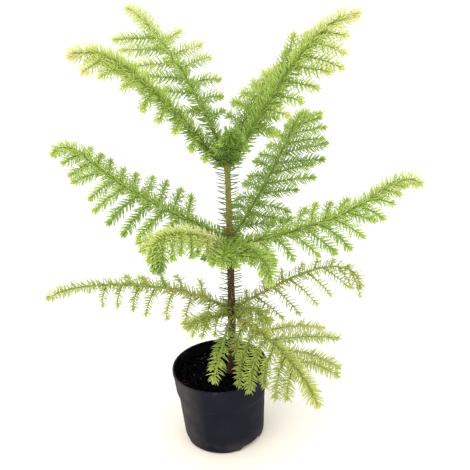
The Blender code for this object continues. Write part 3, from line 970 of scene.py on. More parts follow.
@dataclass(frozen=True)
class PeatBed:
    """The plug of peat in the pot, with crumbs, pale grains, bark chips and fibres lying on it.

    Its top dips towards the edge, is mounded round the trunk, and has lumps with finer lumps on them. Each of
    the two is read off its own slice of the noise.
    """

    top: float = 0.0752
    floor: float = 0.0070
    foot_radius: float = 0.0425
    edge_radius: float = 0.0485
    edge_dip: float = 0.0022
    edge_power: int = 3
    mound: float = 0.0012
    mound_spread: float = 0.012
    lump: float = 0.0013
    lump_waves: float = 140.0
    lump_slice: float = 3.1
    fine_part: float = 0.6
    fine_waves: float = 420.0
    fine_slice: float = 7.7
    sides: int = 144
    rings: int = 60
    heart: float = 0.001
    last_ring: float = 0.02
    loose: tuple[Litter | Fibres, ...] = (
        Litter("peat_crumbs", "crumbs", 900, 0.0006, 0.0021, 0.75, 0.0,
               GrainFinish("peat_crumb", (0.0034, 0.0028, 0.0034), (0.0012, 0.0011, 0.0016))),
        Litter("pale_grains", "pale grains", 22, 0.0005, 0.0011, 0.80, 0.3,
               GrainFinish("pale_grain", (0.160, 0.155, 0.150), (0.070, 0.066, 0.064))),
        Litter("bark_chips", "chips", 34, 0.0008, 0.0020, 0.40, 1.6,
               GrainFinish("bark_chip", (0.070, 0.034, 0.018), (0.030, 0.014, 0.009))),
        Fibres(),
    )

    def surface(self, x: float, y: float) -> float:
        """Gives the peat's height.

        Args:
            x: A place across the pot.
            y: A place along it.

        Returns:
            The height of the peat there.
        """
        out = math.hypot(x, y) / self.edge_radius
        from_trunk = math.hypot(x - TRUNK.foot_x, y)
        height = self.top - self.edge_dip * out ** self.edge_power
        height += self.mound * math.exp(-(from_trunk / self.mound_spread) ** 2)
        height += self.lump * noise.noise(Vector((x * self.lump_waves, y * self.lump_waves, self.lump_slice)))
        fine = noise.noise(Vector((x * self.fine_waves, y * self.fine_waves, self.fine_slice)))
        return height + self.fine_part * self.lump * fine

    def build(self) -> None:
        """Builds the plug and everything that lies on it."""
        turn = bearings(self.sides)
        spokes = np.stack([np.cos(turn), np.sin(turn)], axis=-1)
        rows = []
        for radius in (self.heart, self.foot_radius):
            rows.append(np.column_stack([spokes * radius, np.full(self.sides, self.floor)]))
        for step in range(self.rings + 1):
            radius = self.edge_radius * (1.0 - step / (self.rings + self.last_ring))
            rows.append(np.array([(x, y, self.surface(x, y)) for x, y in spokes * radius]))
        batch = MeshBatch()
        batch.add(np.concatenate(rows), *grid_faces(len(rows), self.sides))
        batch.mount("peat_bed", PeatFinish().material(), "potting_soil", "soil")
        for kind in self.loose:
            kind.build(self)


# Trunk


@dataclass(frozen=True)
class Trunk:
    """The leaning trunk, with ridges, wrinkles and the low cushions that old needles leave.

    waves are the noise's waves round the trunk and up it. A cushion is followed by a fainter trail below it.
    """

    foot: float = 0.0752
    foot_x: float = 0.0114
    lean: float = 0.0110
    bow: float = 0.62
    top: float = 0.3300
    foot_radius: float = 0.0044
    top_radius: float = 0.0022
    flare: float = 0.0014
    flare_height: float = 0.0050
    whorls: Place = (0.149, 0.226, 0.306)
    swelling: float = 0.0008
    swelling_spread: float = 0.0050
    sides: int = 48
    rings: int = 640
    sunk: float = 0.0020
    ridge: float = 0.00022
    ridge_waves: Span = (2.2, 120.0)
    wrinkle_part: float = 0.6
    wrinkle_waves: Span = (5.0, 900.0)
    cushion: float = 0.00045
    cushion_width: float = 0.30
    cushion_length: float = 0.0011
    cushion_spread: Span = (0.4, 1.0)
    trail: float = 0.0022
    trail_length: float = 0.0018
    trail_part: float = 0.5
    cushion_gap: float = 0.00072
    gap_spread: Span = (0.8, 1.2)
    plain_foot: float = 0.004
    plain_top: float = 0.002

    def axis(self, height: np.ndarray | float) -> np.ndarray:
        """Finds the trunk's middle: it leans a little and bows back upright.

        Args:
            height: One height or several.

        Returns:
            Points, one to a row where several heights are given.
        """
        part = np.clip((height - self.foot) / (self.top - self.foot), 0.0, 1.0)
        x = self.foot_x + self.lean * part ** self.bow
        return np.stack([x, np.zeros_like(x), height + np.zeros_like(x)], axis=-1)

    def radius(self, height: np.ndarray | float) -> np.ndarray | float:
        """Gives the even taper, the flare at the foot and a slight swelling at each whorl.

        Args:
            height: One height or several.

        Returns:
            The trunk's radius there.
        """
        part = (height - self.foot) / (self.top - self.foot)
        size = self.foot_radius + (self.top_radius - self.foot_radius) * part
        size = size + self.flare * np.exp(-np.maximum(height - self.foot, 0.0) / self.flare_height)
        for whorl in self.whorls:
            size = size + self.swelling * np.exp(-((height - whorl) / self.swelling_spread) ** 2)
        return size

    def cushions(self, heights: np.ndarray, turn: np.ndarray) -> np.ndarray:
        """Works out the relief of the cushions, which climb the trunk in a spiral.

        Args:
            heights: The height of each ring.
            turn: The bearing of each side, in radians.

        Returns:
            What they add to the radius, one ring to a row.
        """
        rng = number_source("cushions")
        relief = np.zeros((len(heights), len(turn)))
        spin = 0.0
        level = self.foot + self.plain_foot
        while level < self.top - self.plain_top:
            spin += math.radians(GOLDEN_TURN)
            away = (turn - spin + math.pi) % (2.0 * math.pi) - math.pi
            around = np.exp(-(away / self.cushion_width) ** 2)
            along = np.exp(-((heights - level) / self.cushion_length) ** 2)
            below = np.exp(-((heights - level + self.trail) / self.trail_length) ** 2)
            size = self.cushion * rng.uniform(*self.cushion_spread)
            relief += size * (along + self.trail_part * below)[:, None] * around
            level += self.cushion_gap * rng.uniform(*self.gap_spread)
        return relief

    def build(self) -> None:
        """Makes the trunk with its relief."""
        heights = np.linspace(self.foot - self.sunk, self.top, self.rings)
        turn = bearings(self.sides)
        around, up = self.ridge_waves
        fine_around, fine_up = self.wrinkle_waves
        relief = ring_noise(turn, heights * up, around)
        relief += self.wrinkle_part * ring_noise(turn, heights * fine_up, fine_around)
        radii = self.radius(heights)[:, None] + self.ridge * relief + self.cushions(heights, turn)
        batch = MeshBatch()
        batch.add_tube(self.axis(heights), radii, self.sides)
        batch.mount("trunk_bark", BarkFinish().material(), "young_bark", "trunk")


# Needles


@dataclass
class NeedleRun:
    """Needles along a shoot, one to a row of each array."""

    roots: np.ndarray
    along: np.ndarray
    outward: np.ndarray
    length: np.ndarray
    width: np.ndarray
    opening: np.ndarray
    closing: np.ndarray
    swerve: np.ndarray
    tone: np.ndarray


@dataclass(frozen=True)
class NeedleShape:
    """One awl-shaped needle: four-sided, thickest near its foot, curved towards the shoot's tip."""

    places: Place = (0.0, 0.26, 0.62)
    girths: Place = (0.90, 1.00, 0.78)
    flatness: float = 0.72

    def mesh(self, run: NeedleRun) -> tuple[np.ndarray, np.ndarray, np.ndarray]:
        """Makes every needle of a run.

        Args:
            run: The needles.

        Returns:
            Their vertices, their four-cornered faces and their three-cornered faces.
        """
        across = np.cross(run.along, run.outward)
        turn = run.closing - run.opening
        rows = []
        for place, girth in zip(self.places + (1.0,), self.girths + (0.0,)):
            angle = run.opening + turn * place
            ahead = (np.sin(angle) - np.sin(run.opening)) / turn
            out = (np.cos(run.opening) - np.cos(angle)) / turn
            middle = run.along * ahead[:, None] + run.outward * out[:, None]
            middle = run.roots + run.length[:, None] * (middle + across * (run.swerve * place ** 2)[:, None])
            if girth == 0.0:
                rows.append(middle)
                continue
            half = (0.5 * girth * run.width)[:, None]
            upper = (run.outward * np.cos(angle)[:, None] - run.along * np.sin(angle)[:, None]) * half
            aside = across * (self.flatness * half)
            rows.extend((middle + upper, middle + aside, middle - upper, middle - aside))
        points = np.stack(rows, axis=1)
        count, each = points.shape[:2]
        quads, foot, end = grid_faces(len(self.places), 4)
        tips = np.stack([end[0], np.roll(end[0], -1), np.full(4, each - 1)], axis=-1)
        first = (np.arange(count) * each)[:, None, None]
        quads = (np.concatenate([quads, foot]) + first).reshape(-1, 4)
        return points.reshape(-1, 3), quads, (tips + first).reshape(-1, 3)


def stand_out(line: Line, run: np.ndarray, spin: np.ndarray,
              guide: np.ndarray) -> tuple[np.ndarray, np.ndarray]:
    """Finds which way needles stand on a shoot.

    Args:
        line: The shoot's middle line.
        run: Where each needle stands.
        spin: Its turn about the shoot, in degrees.
        guide: What the turn is measured from, square to the shoot and this direction.

    Returns:
        The shoot's direction and the outward direction at each needle.
    """
    heading = line.heading(run)
    side = unit(np.cross(heading, guide))
    spin = np.radians(spin)[:, None]
    return heading, side * np.cos(spin) + np.cross(side, heading) * np.sin(spin)


@dataclass(frozen=True)
class NeedleCoat:
    """How needles stand on a shoot: in a close spiral, eight ranks of them at a turn of 135 degrees.

    A needle leaves the shoot at the open angle and ends at the close one. Over foot_run from the first needle
    the lengths rise from foot_part, and over tip_run they fall to tip_part. The tuft closes the shoot's tip.
    """

    pitch: float
    length: float
    pitch_jitter: float = 0.25
    turn: float = 135.0
    turn_jitter: float = 11.0
    first_spread: float = FULL_TURN
    length_jitter: float = 0.10
    width: float = 0.00125
    width_spread: Span = (0.85, 1.10)
    open_foot: float = 72.0
    open_tip: float = 62.0
    close_foot: float = 34.0
    close_tip: float = 14.0
    angle_jitter: float = 6.0
    swerve: float = 0.07
    foot_part: float = 0.72
    tip_part: float = 0.62
    tip_run: float = 0.014
    foot_run: float = 0.010
    sunk: float = 0.0003
    tone_power: float = 1.6
    tone_spread: float = 0.035
    tuft: int = 18
    tuft_run: float = 0.0045
    tuft_length: float = 0.0062
    tuft_length_spread: Span = (0.9, 1.1)
    tuft_shorter: float = 0.25
    tuft_narrower: float = 0.7
    tuft_open: Span = (68.0, 24.0)
    tuft_closing: float = 64.0
    tuft_tone_spread: float = 0.05

    def clothe(self, line: Line, start: float, radius: float, tone: Span,
               rng: np.random.Generator) -> NeedleRun:
        """Sets needles along a shoot.

        Args:
            line: The shoot's middle line.
            start: Where its first needle stands.
            radius: The shoot's radius.
            tone: The needles' brightness at the shoot's foot and tip, from 0 to 1.
            rng: A source of random numbers.

        Returns:
            The needles.
        """
        count = max(2, int((line.length - start) / self.pitch))
        places = np.arange(count) + rng.uniform(-self.pitch_jitter, self.pitch_jitter, count)
        run = np.clip(start + self.pitch * places, 0.0, line.length)
        spin = rng.uniform(0.0, self.first_spread) + self.turn * np.arange(count)
        heading, outward = stand_out(line, run, spin + rng.normal(0.0, self.turn_jitter, count), UP)
        to_tip = smooth_step(self.tip_run, 0.0, line.length - run)
        from_foot = smooth_step(0.0, self.foot_run, run - start)
        length = self.length * (1.0 + rng.uniform(-self.length_jitter, self.length_jitter, count))
        length = length * (self.foot_part + (1.0 - self.foot_part) * from_foot)
        jitter = rng.normal(0.0, self.angle_jitter, count)
        brightness = tone[0] + (tone[1] - tone[0]) * (run / line.length) ** self.tone_power
        return NeedleRun(
            roots=line.at(run) + outward * (radius - self.sunk),
            along=heading,
            outward=outward,
            length=length * (1.0 + (self.tip_part - 1.0) * to_tip),
            width=self.width * rng.uniform(*self.width_spread, count),
            opening=np.radians(self.open_foot + (self.open_tip - self.open_foot) * to_tip + jitter),
            closing=np.radians(self.close_foot + (self.close_tip - self.close_foot) * to_tip + jitter),
            swerve=rng.normal(0.0, self.swerve, count),
            tone=brightness + rng.normal(0.0, self.tone_spread, count),
        )

    def crowd_tip(self, line: Line, radius: float, tone: float, rng: np.random.Generator) -> NeedleRun:
        """Crowds short needles round a shoot's tip, curved in over its bud, so that it ends in a round knob.

        Args:
            line: The shoot's middle line.
            radius: The shoot's radius.
            tone: The needles' brightness, from 0 to 1.
            rng: A source of random numbers.

        Returns:
            The needles.
        """
        part = (np.arange(self.tuft) + 0.5) / self.tuft
        run = np.maximum(line.length - self.tuft_run * (1.0 - part), 0.0)
        spin = rng.uniform(0.0, FULL_TURN) + GOLDEN_TURN * np.arange(self.tuft)
        heading, outward = stand_out(line, run, spin, NEARLY_UP)
        opening = self.tuft_open[0] + (self.tuft_open[1] - self.tuft_open[0]) * part
        opening = opening + rng.normal(0.0, self.angle_jitter, self.tuft)
        length = self.tuft_length * (1.0 - self.tuft_shorter * part)
        return NeedleRun(
            roots=line.at(run) + outward * (radius * (1.0 - self.tuft_narrower * part) - self.sunk)[:, None],
            along=heading,
            outward=outward,
            length=length * rng.uniform(*self.tuft_length_spread, self.tuft),
            width=self.width * rng.uniform(*self.width_spread, self.tuft),
            opening=np.radians(opening),
            closing=np.radians(opening - self.tuft_closing),
            swerve=rng.normal(0.0, self.swerve, self.tuft),
            tone=tone + rng.normal(0.0, self.tuft_tone_spread, self.tuft),
        )


# Fronds


@dataclass(frozen=True)
class Branchlet:
    """One side shoot of a frond, with its place from 0 at the trunk to 1 at the frond's tip."""

    line: Line
    part: float
    tone: float


@dataclass(frozen=True)
class Rank:
    """The branchlets on one side of a frond.

    reach is the longest of them, at full_at of the frond's length. They start at root_part of it near the
    trunk and are cut to tip_part of it at the tip. They leave the stem at angle and hang by droop, and none
    stands before first or beyond last.
    """

    reach: float
    full_at: float = 0.30
    tip_part: float = 0.35
    angle: float = 74.0
    droop: float = 20.0
    root_part: float = 0.55
    first: float = 0.0
    last: float = 1.0


@dataclass(frozen=True)
class Frond:
    """One bough with its foliage: a curve that leaves the trunk and two ranks of branchlets.

    azimuth is 0 towards +X and 90 towards +Y, and sweep turns it along the curve. The rise goes from
    rise_root to rise_tip, late where bend is large, and the tip curls down by curl. The bough is bare long,
    clear lies between it and the first branchlet, and gap between two branchlets of a rank. No branchlet
    stands beyond last. tilt turns the ranks' plane about the stem. tone_root and tone_tip are how bright its
    needles are near the trunk and at its tip. under is painted shade: how much darker a branchlet's tip is
    made for each centimetre that it hangs below its root. thin spreads the needles out where it is over 1.
    """

    name: str
    whorl: Whorl
    azimuth: float
    height: float
    length: float
    rise_root: float
    rise_tip: float
    bend: float
    left: Rank
    right: Rank
    curl: float = 0.0
    sweep: float = 0.0
    bare: float = 0.016
    clear: float = 0.007
    gap: float = 0.022
    tilt: float = 0.0
    last: float = 0.90
    tone_root: float = 0.30
    tone_tip: float = 0.70
    # Painted shade on branchlet tips that hang below their roots.
    under: float = 0.0
    thin: float = 1.0

    def rank(self, side: int) -> Rank:
        """The rank on one side: the left one where side is 1 and the right one where it is -1."""
        return self.left if side > 0 else self.right

    def path(self) -> list[tuple[Vector, Vector]]:
        """Follows the stem.

        Returns:
            Points and directions from the trunk's axis to the frond's tip.
        """
        point = Vector(TRUNK.axis(self.height))
        found = []
        for i in range(RULE.path_steps + 1):
            part = i / RULE.path_steps
            turn = math.radians(self.azimuth + self.sweep * part)
            rise = self.rise_root + (self.rise_tip - self.rise_root) * part ** self.bend
            rise -= self.curl * max(0.0, (part - RULE.curl_from) / (1.0 - RULE.curl_from)) ** RULE.curl_power
            direction = heading_of(math.radians(rise), turn)
            found.append((point.copy(), direction))
            point = point + direction * (self.length / RULE.path_steps)
        return found

    def radius(self, run: np.ndarray | float) -> np.ndarray | float:
        """The stem's radius at one distance from the trunk's axis or several."""
        part = (np.maximum(run, 0.0) / self.length) ** RULE.stem_taper
        return RULE.bough_root_radius + (RULE.stem_tip_radius - RULE.bough_root_radius) * part

    def rank_side(self, part: float, direction: Vector) -> Vector:
        """Finds the way that the left rank leaves the stem.

        Args:
            part: The place along the frond.
            direction: The stem's direction there.

        Returns:
            A unit vector square to the stem, in the plane of the ranks.
        """
        turn = math.radians(self.azimuth + self.sweep * part)
        level = Vector((-math.sin(turn), math.cos(turn), 0.0))
        tilt = math.radians(self.tilt)
        return level * math.cos(tilt) + direction.cross(level) * math.sin(tilt)

    def branchlet_length(self, side: int, part: float, rng: random.Random) -> float:
        """Gives a branchlet's length: it grows to full_at and falls off towards the tip.

        Args:
            side: 1 on the left, -1 on the right.
            part: The place along the frond.
            rng: The frond's source of random numbers.

        Returns:
            The length.
        """
        rank = self.rank(side)
        grow = min(1.0, rank.root_part + (1.0 - rank.root_part) * part / rank.full_at)
        beyond = max(0.0, (part - rank.full_at) / (1.0 - rank.full_at))
        fall = 1.0 - (1.0 - rank.tip_part) * beyond ** RULE.fall_power
        length = rank.reach * grow * fall * rng.uniform(*RULE.length_spread)
        return min(length, RULE.longest_part * (1.0 - part) * self.length + RULE.length_to_spare)

    def branchlet_points(self, root: Vector, ahead: Vector, side: int, part: float, length: float,
                         rng: random.Random) -> np.ndarray:
        """Follows a branchlet that leaves at an angle, turns forwards a little and droops.

        Args:
            root: Where it leaves the stem.
            ahead: The stem's direction there.
            side: 1 on the left, -1 on the right.
            part: The place along the frond.
            length: The branchlet's length.
            rng: The frond's source of random numbers.

        Returns:
            Its points, one to a row.
        """
        rank = self.rank(side)
        angle = rank.angle * (1.0 - RULE.angle_closing * part)
        angle = math.radians(angle + rng.uniform(-RULE.angle_spread, RULE.angle_spread))
        start = ahead * math.cos(angle) + self.rank_side(part, ahead) * (side * math.sin(angle))
        droop = rank.droop * (1.0 - RULE.droop_closing * part)
        droop = math.radians(droop + rng.uniform(-RULE.droop_spread, RULE.droop_spread))
        rise = math.asin(max(-1.0, min(1.0, start.z)))
        heading = math.atan2(start.y, start.x)
        swing = (math.atan2(ahead.y, ahead.x) - heading + math.pi) % (2.0 * math.pi) - math.pi
        points = [root.copy()]
        for step in range(RULE.branchlet_steps):
            along = (step + 0.5) / RULE.branchlet_steps
            pitch = rise - droop * (RULE.droop_at_root + RULE.droop_gain * along)
            direction = heading_of(pitch, heading + RULE.forward_curve * swing * along)
            points.append(points[-1] + direction * (length / RULE.branchlet_steps))
        return np.array(points)

    def branchlets(self, path: list[tuple[Vector, Vector]]) -> list[Branchlet]:
        """Grows both ranks of branchlets.

        Args:
            path: The stem's points and directions.

        Returns:
            The branchlets from the trunk outwards.
        """
        rng = random.Random(self.name)
        shade = random.Random(self.name + " tones")
        first = 1 if rng.random() < 0.5 else -1
        run = self.bare + self.clear
        found = []
        while run < self.length * self.last:
            for side in (first, -first):
                part = run / self.length
                if side != first:
                    part += RULE.rank_offset * self.gap / self.length
                rank = self.rank(side)
                if not rank.first <= part <= min(self.last, rank.last) - RULE.tip_room:
                    continue
                root, ahead = path_at(path, part)
                length = self.branchlet_length(side, part, rng)
                points = self.branchlet_points(root, ahead, side, part, length, rng)
                tone = self.tone_at(part) + shade.uniform(-RULE.tone_spread, RULE.tone_spread)
                found.append(Branchlet(Line(points), part, tone))
            run += self.gap * (1.0 - RULE.gap_closing * run / self.length)
        return found

    def tone_at(self, part: float) -> float:
        """The brightness of its needles at a place along it."""
        return self.tone_root + (self.tone_tip - self.tone_root) * part ** RULE.tone_power


@dataclass(frozen=True)
class GrowthRule:
    """The sizes that every frond's growth shares."""

    path_steps: int = 40
    bough_root_radius: float = 0.0017
    stem_tip_radius: float = 0.0008
    stem_taper: float = 0.8
    rank_offset: float = 0.42
    gap_closing: float = 0.25
    fall_power: float = 1.3
    longest_part: float = 0.9
    length_to_spare: float = 0.010
    length_spread: Span = (0.86, 1.10)
    curl_from: float = 0.75
    curl_power: float = 1.5
    angle_closing: float = 0.42
    angle_spread: float = 6.0
    droop_closing: float = 0.35
    droop_at_root: float = 0.4
    droop_gain: float = 1.2
    droop_spread: float = 9.0
    forward_curve: float = 0.18
    tip_room: float = 0.01
    branchlet_steps: int = 6
    tone_spread: float = 0.11
    tone_power: float = 1.3


def heading_of(rise: float, turn: float) -> Vector:
    """The direction at an angle above the horizon and one about the upright axis, both in radians."""
    return Vector((math.cos(rise) * math.cos(turn), math.cos(rise) * math.sin(turn), math.sin(rise)))


def path_at(path: list[tuple[Vector, Vector]], part: float) -> tuple[Vector, Vector]:
    """Reads a path.

    Args:
        path: Points and directions at even distances.
        part: A place from 0 to 1.

    Returns:
        The point and the direction there.
    """
    steps = len(path) - 1
    i = min(steps - 1, int(part * steps))
    blend = part * steps - i
    return path[i][0].lerp(path[i + 1][0], blend), path[i][1].lerp(path[i + 1][1], blend).normalized()


RULE = GrowthRule()
TRUNK = Trunk()

FRONDS = (
    Frond("top_left_low", Whorl.TOP, 195, 0.3040, 0.1826, 52, -4, 4.5,
          Rank(0.040, 0.85, 0.40, 86, 21, root_part=0.35, last=0.92), Rank(0.038, 0.55, 0.45, root_part=0.35),
          curl=19, sweep=1, bare=0.026, clear=0.004, gap=0.0194, tilt=-14, last=0.86, tone_root=0.34,
          tone_tip=0.94),
    Frond("top_left_high", Whorl.TOP, 125, 0.3065, 0.2217, 62, 31, 0.7,
          Rank(0.052, 0.65, 0.35, 74, 4, root_part=0.15), Rank(0.045, 0.50, 0.10, 90, 20, root_part=0.10),
          curl=22, sweep=4, bare=0.030, clear=0.022, gap=0.0215, tilt=-22, last=0.76, tone_root=0.40,
          tone_tip=0.93),
    Frond("top_right", Whorl.TOP, 8, 0.3030, 0.1913, 55, 6, 4.5,
          Rank(0.043, 0.48, 0.30, 46, 20, root_part=0.30, last=0.77),
          Rank(0.039, 0.66, 0.14, 82, 13, root_part=0.28),
          curl=11, sweep=1, bare=0.030, clear=0.016, gap=0.0163, tilt=36, last=0.84, tone_root=0.36,
          tone_tip=0.95),
    Frond("top_back_right", Whorl.TOP, 54, 0.3105, 0.126, 48, 22, 1.5,
          Rank(0.044, 0.50, root_part=0.40), Rank(0.034), bare=0.030, gap=0.0175, tone_root=0.40,
          tone_tip=0.85),
    Frond("top_front", Whorl.TOP, -80, 0.3050, 0.058, 60, 30, 1.5, Rank(0.018), Rank(0.018),
          gap=0.012, last=0.85, tone_root=0.16, tone_tip=0.34),
    Frond("mid_front_left", Whorl.MIDDLE, -145, 0.2215, 0.1111, 34, -84, 3.4,
          Rank(0.040, 0.90, 0.90, 70, 36, root_part=0.40), Rank(0.032, 0.60, root_part=0.70, last=0.86),
          sweep=8, gap=0.0115, last=0.96, tone_root=1.00, tone_tip=0.72, under=0.28),
    Frond("mid_left", Whorl.MIDDLE, 152, 0.2317, 0.2403, 17, 50, 2.1,
          Rank(0.046, 0.40, 0.18, 83, 20, root_part=0.50, last=0.95),
          Rank(0.040, 0.19, 0.05, 83, 22, root_part=0.75, last=0.79),
          curl=108, sweep=-1, clear=0.036, gap=0.0190, tilt=-39, last=0.84, tone_root=0.46, tone_tip=0.71,
          thin=0.85),
    Frond("mid_right", Whorl.MIDDLE, 12, 0.2240, 0.2193, 5, 59, 2.4, Rank(0.042, 0.30, 0.25, last=0.58),
          Rank(0.042, 0.35, 0.05, 66, 18), curl=114, clear=0.014, gap=0.0175, tilt=30, last=0.86,
          tone_root=0.56, tone_tip=0.78),
    Frond("mid_back_right", Whorl.MIDDLE, 62, 0.2310, 0.2174, 9, 39, 0.5, Rank(0.044, 0.40, 0.20),
          Rank(0.056, 0.55, 0.40, 74, 12), curl=38, sweep=-6, bare=0.020, gap=0.0175, tilt=4, last=0.95,
          tone_root=0.36, tone_tip=0.64),
    Frond("mid_front", Whorl.MIDDLE, -55, 0.2245, 0.0774, 11, -89, 2.4, Rank(0.024, 0.30, 0.30), Rank(0.018),
          curl=20, bare=0.012, gap=0.0160, last=0.80, tone_root=0.48, tone_tip=0.60),
    Frond("mid_near", Whorl.MIDDLE, -98, 0.2275, 0.056, 14, -24, 1.5, Rank(0.028), Rank(0.026), bare=0.010,
          gap=0.0115, last=0.85, tone_root=0.44, tone_tip=0.62),
    Frond("mid_back", Whorl.MIDDLE, 96, 0.2290, 0.060, -14, -34, 1.3, Rank(0.028), Rank(0.026), bare=0.014,
          gap=0.0125, last=0.86, tone_root=0.40, tone_tip=0.58),
    Frond("low_left", Whorl.LOW, 166, 0.1500, 0.2231, 38, -17, 0.5,
          Rank(0.034, 0.30, 0.30, 90, 44, root_part=0.80), Rank(0.036, 0.20, 0.20, root_part=0.80, last=0.58),
          curl=19, bare=0.018, gap=0.0215, tilt=-24, last=0.70, tone_root=0.52, tone_tip=0.60),
    Frond("low_right", Whorl.LOW, 18, 0.1525, 0.1752, 18, -89, 3.5, Rank(0.022, 0.25, 0.40, root_part=0.90),
          Rank(0.039, 0.20, 0.75, 66, 24, root_part=0.90), curl=8, bare=0.012, gap=0.0220, tilt=28, last=0.86,
          tone_root=0.54, tone_tip=0.62, thin=1.4),
    Frond("low_front_right", Whorl.LOW, -50, 0.1470, 0.137, -4, -60, 1.7,
          Rank(0.084, 0.43, 0.32, 86, 21, root_part=0.20, first=0.299, last=0.683),
          Rank(0.058, 0.29, 0.05, 104, 56, last=0.78),
          bare=0.012, clear=0.0109, gap=0.0157, tilt=12, last=0.86, tone_root=0.60, tone_tip=0.72, under=0.05,
          thin=0.60),
    Frond("low_front", Whorl.LOW, -106, 0.1455, 0.0817, -15, -27, 0.6, Rank(0.010, 0.40, 0.50, 60),
          Rank(0.022, 0.40, 0.50, 44, 30), bare=0.014, gap=0.0210, last=0.84, tone_root=0.20, tone_tip=0.50,
          thin=1.65),
    Frond("low_back", Whorl.LOW, 88, 0.1500, 0.066, -18, -40, 1.3, Rank(0.031), Rank(0.029), bare=0.014,
          gap=0.0125, last=0.86, tone_root=0.40, tone_tip=0.58),
    Frond("low_near", Whorl.LOW, -24, 0.1556, 0.046, 8, -56, 1.4, Rank(0.024), Rank(0.026), bare=0.010,
          gap=0.0105, last=0.86, tone_root=0.48, tone_tip=0.64),
    Frond("low_front_left", Whorl.LOW, -158, 0.1475, 0.052, 6, -20, 1.5, Rank(0.028), Rank(0.030), bare=0.010,
          gap=0.0110, last=0.88, tone_root=0.50, tone_tip=0.66),
)


# Crown


@dataclass(frozen=True)
class WhorlStyle:
    """How one whorl is dressed: its boughs' bark, its stems' tints from the trunk outwards and its needles.

    fur clothes its stems and coat its branchlets, whose needles are tip_gain brighter at the tip.
    """

    bark: LimbFinish
    stems: tuple[TwigTint, TwigTint, TwigTint]
    fur: NeedleCoat
    coat: NeedleCoat
    tip_gain: float


STYLES = {
    Whorl.TOP: WhorlStyle(
        bark=LimbFinish(Whorl.TOP, (0.130, 0.120, 0.036), (0.190, 0.210, 0.048)),
        stems=(TwigTint.OLIVE, TwigTint.GREEN, TwigTint.GREEN),
        fur=NeedleCoat(0.00030, 0.0122, open_foot=78.0, close_foot=42.0, foot_part=1.0, tuft=24),
        coat=NeedleCoat(0.00050, 0.0112),
        tip_gain=0.18,
    ),
    Whorl.MIDDLE: WhorlStyle(
        bark=LimbFinish(Whorl.MIDDLE, (0.150, 0.100, 0.034), (0.230, 0.210, 0.054)),
        stems=(TwigTint.BROWN, TwigTint.OLIVE, TwigTint.GREEN),
        fur=NeedleCoat(0.00032, 0.0122, open_foot=78.0, close_foot=42.0, foot_part=1.0, tuft=24),
        coat=NeedleCoat(0.00052, 0.0114),
        tip_gain=-0.02,
    ),
    Whorl.LOW: WhorlStyle(
        bark=LimbFinish(Whorl.LOW, (0.230, 0.140, 0.052), (0.380, 0.300, 0.100)),
        stems=(TwigTint.TAN, TwigTint.TAN, TwigTint.GREEN),
        fur=NeedleCoat(0.00046, 0.0114, turn=90.0, turn_jitter=24.0, first_spread=20.0, width=0.00120,
                       open_foot=78.0, close_foot=48.0, foot_part=1.0, tuft=16),
        coat=NeedleCoat(0.00070, 0.0094, turn=90.0, turn_jitter=17.0, first_spread=20.0, width=0.00116,
                        open_foot=76.0, close_foot=54.0, close_tip=26.0, foot_part=0.85, tip_part=0.70,
                        tuft=8, tuft_length=0.0056),
        tip_gain=0.08,
    ),
}


@dataclass(frozen=True)
class TrunkNeedles:
    """Needles that stand straight out of the trunk between two heights, followed in even steps."""

    seed: str
    whorl: Whorl
    low: float
    high: float
    steps: int
    tone: Span
    coat: NeedleCoat
    sunk: float = 0.0002

    def grow(self) -> NeedleRun:
        """Sets the needles on the trunk.

        Returns:
            The needles.
        """
        line = Line(TRUNK.axis(np.linspace(self.low, self.high, self.steps)))
        run = self.coat.clothe(line, 0.0, 0.0, self.tone, number_source(self.seed))
        run.roots += run.outward * (TRUNK.radius(run.roots[:, 2])[:, None] - self.sunk)
        return run


COLLAR = NeedleCoat(0.00016, 0.0118, width=0.00130, open_foot=84.0, open_tip=84.0, close_foot=62.0,
                    close_tip=62.0, foot_part=1.0, tip_part=1.0)
SPARSE = replace(COLLAR, pitch=0.00068, turn=90.0, turn_jitter=16.0, first_spread=10.0, close_foot=66.0,
                 close_tip=66.0)

TRUNK_NEEDLES = (
    TrunkNeedles("trunk needles", Whorl.TOP, 0.158, 0.326, 60, (0.02, 0.20), SPARSE),
    TrunkNeedles("low collar", Whorl.LOW, 0.145, 0.158, 8, (0.30, 0.46), COLLAR),
    TrunkNeedles("middle collar", Whorl.MIDDLE, 0.222, 0.235, 8, (0.30, 0.46), COLLAR),
)


@dataclass(frozen=True)
class Leader:
    """The short stem on the trunk's tip, with needles that close round its bud."""

    sunk: float = 0.002
    height: float = 0.016
    rings: int = 8
    tip_part: float = 0.45
    needle_radius: float = 0.0014
    tone: Span = (0.22, 0.56)
    coat: NeedleCoat = NeedleCoat(0.00022, 0.0120, open_foot=52.0, close_foot=24.0)

    def line(self) -> Line:
        """The leader's middle line, upright from just inside the trunk."""
        rise = np.linspace(-self.sunk, self.height, self.rings)
        return Line(TRUNK.axis(TRUNK.top) + UP * rise[:, None])

    def radii(self) -> np.ndarray:
        """The leader's radius at each of its rings."""
        return TRUNK.top_radius * np.linspace(1.0, self.tip_part, self.rings)

    def grow(self) -> NeedleRun:
        """The needles on the leader."""
        rng = number_source("leader")
        return self.coat.clothe(self.line(), self.sunk, self.needle_radius, self.tone, rng)


Batches = defaultdict[tuple[Whorl, Choice], MeshBatch]


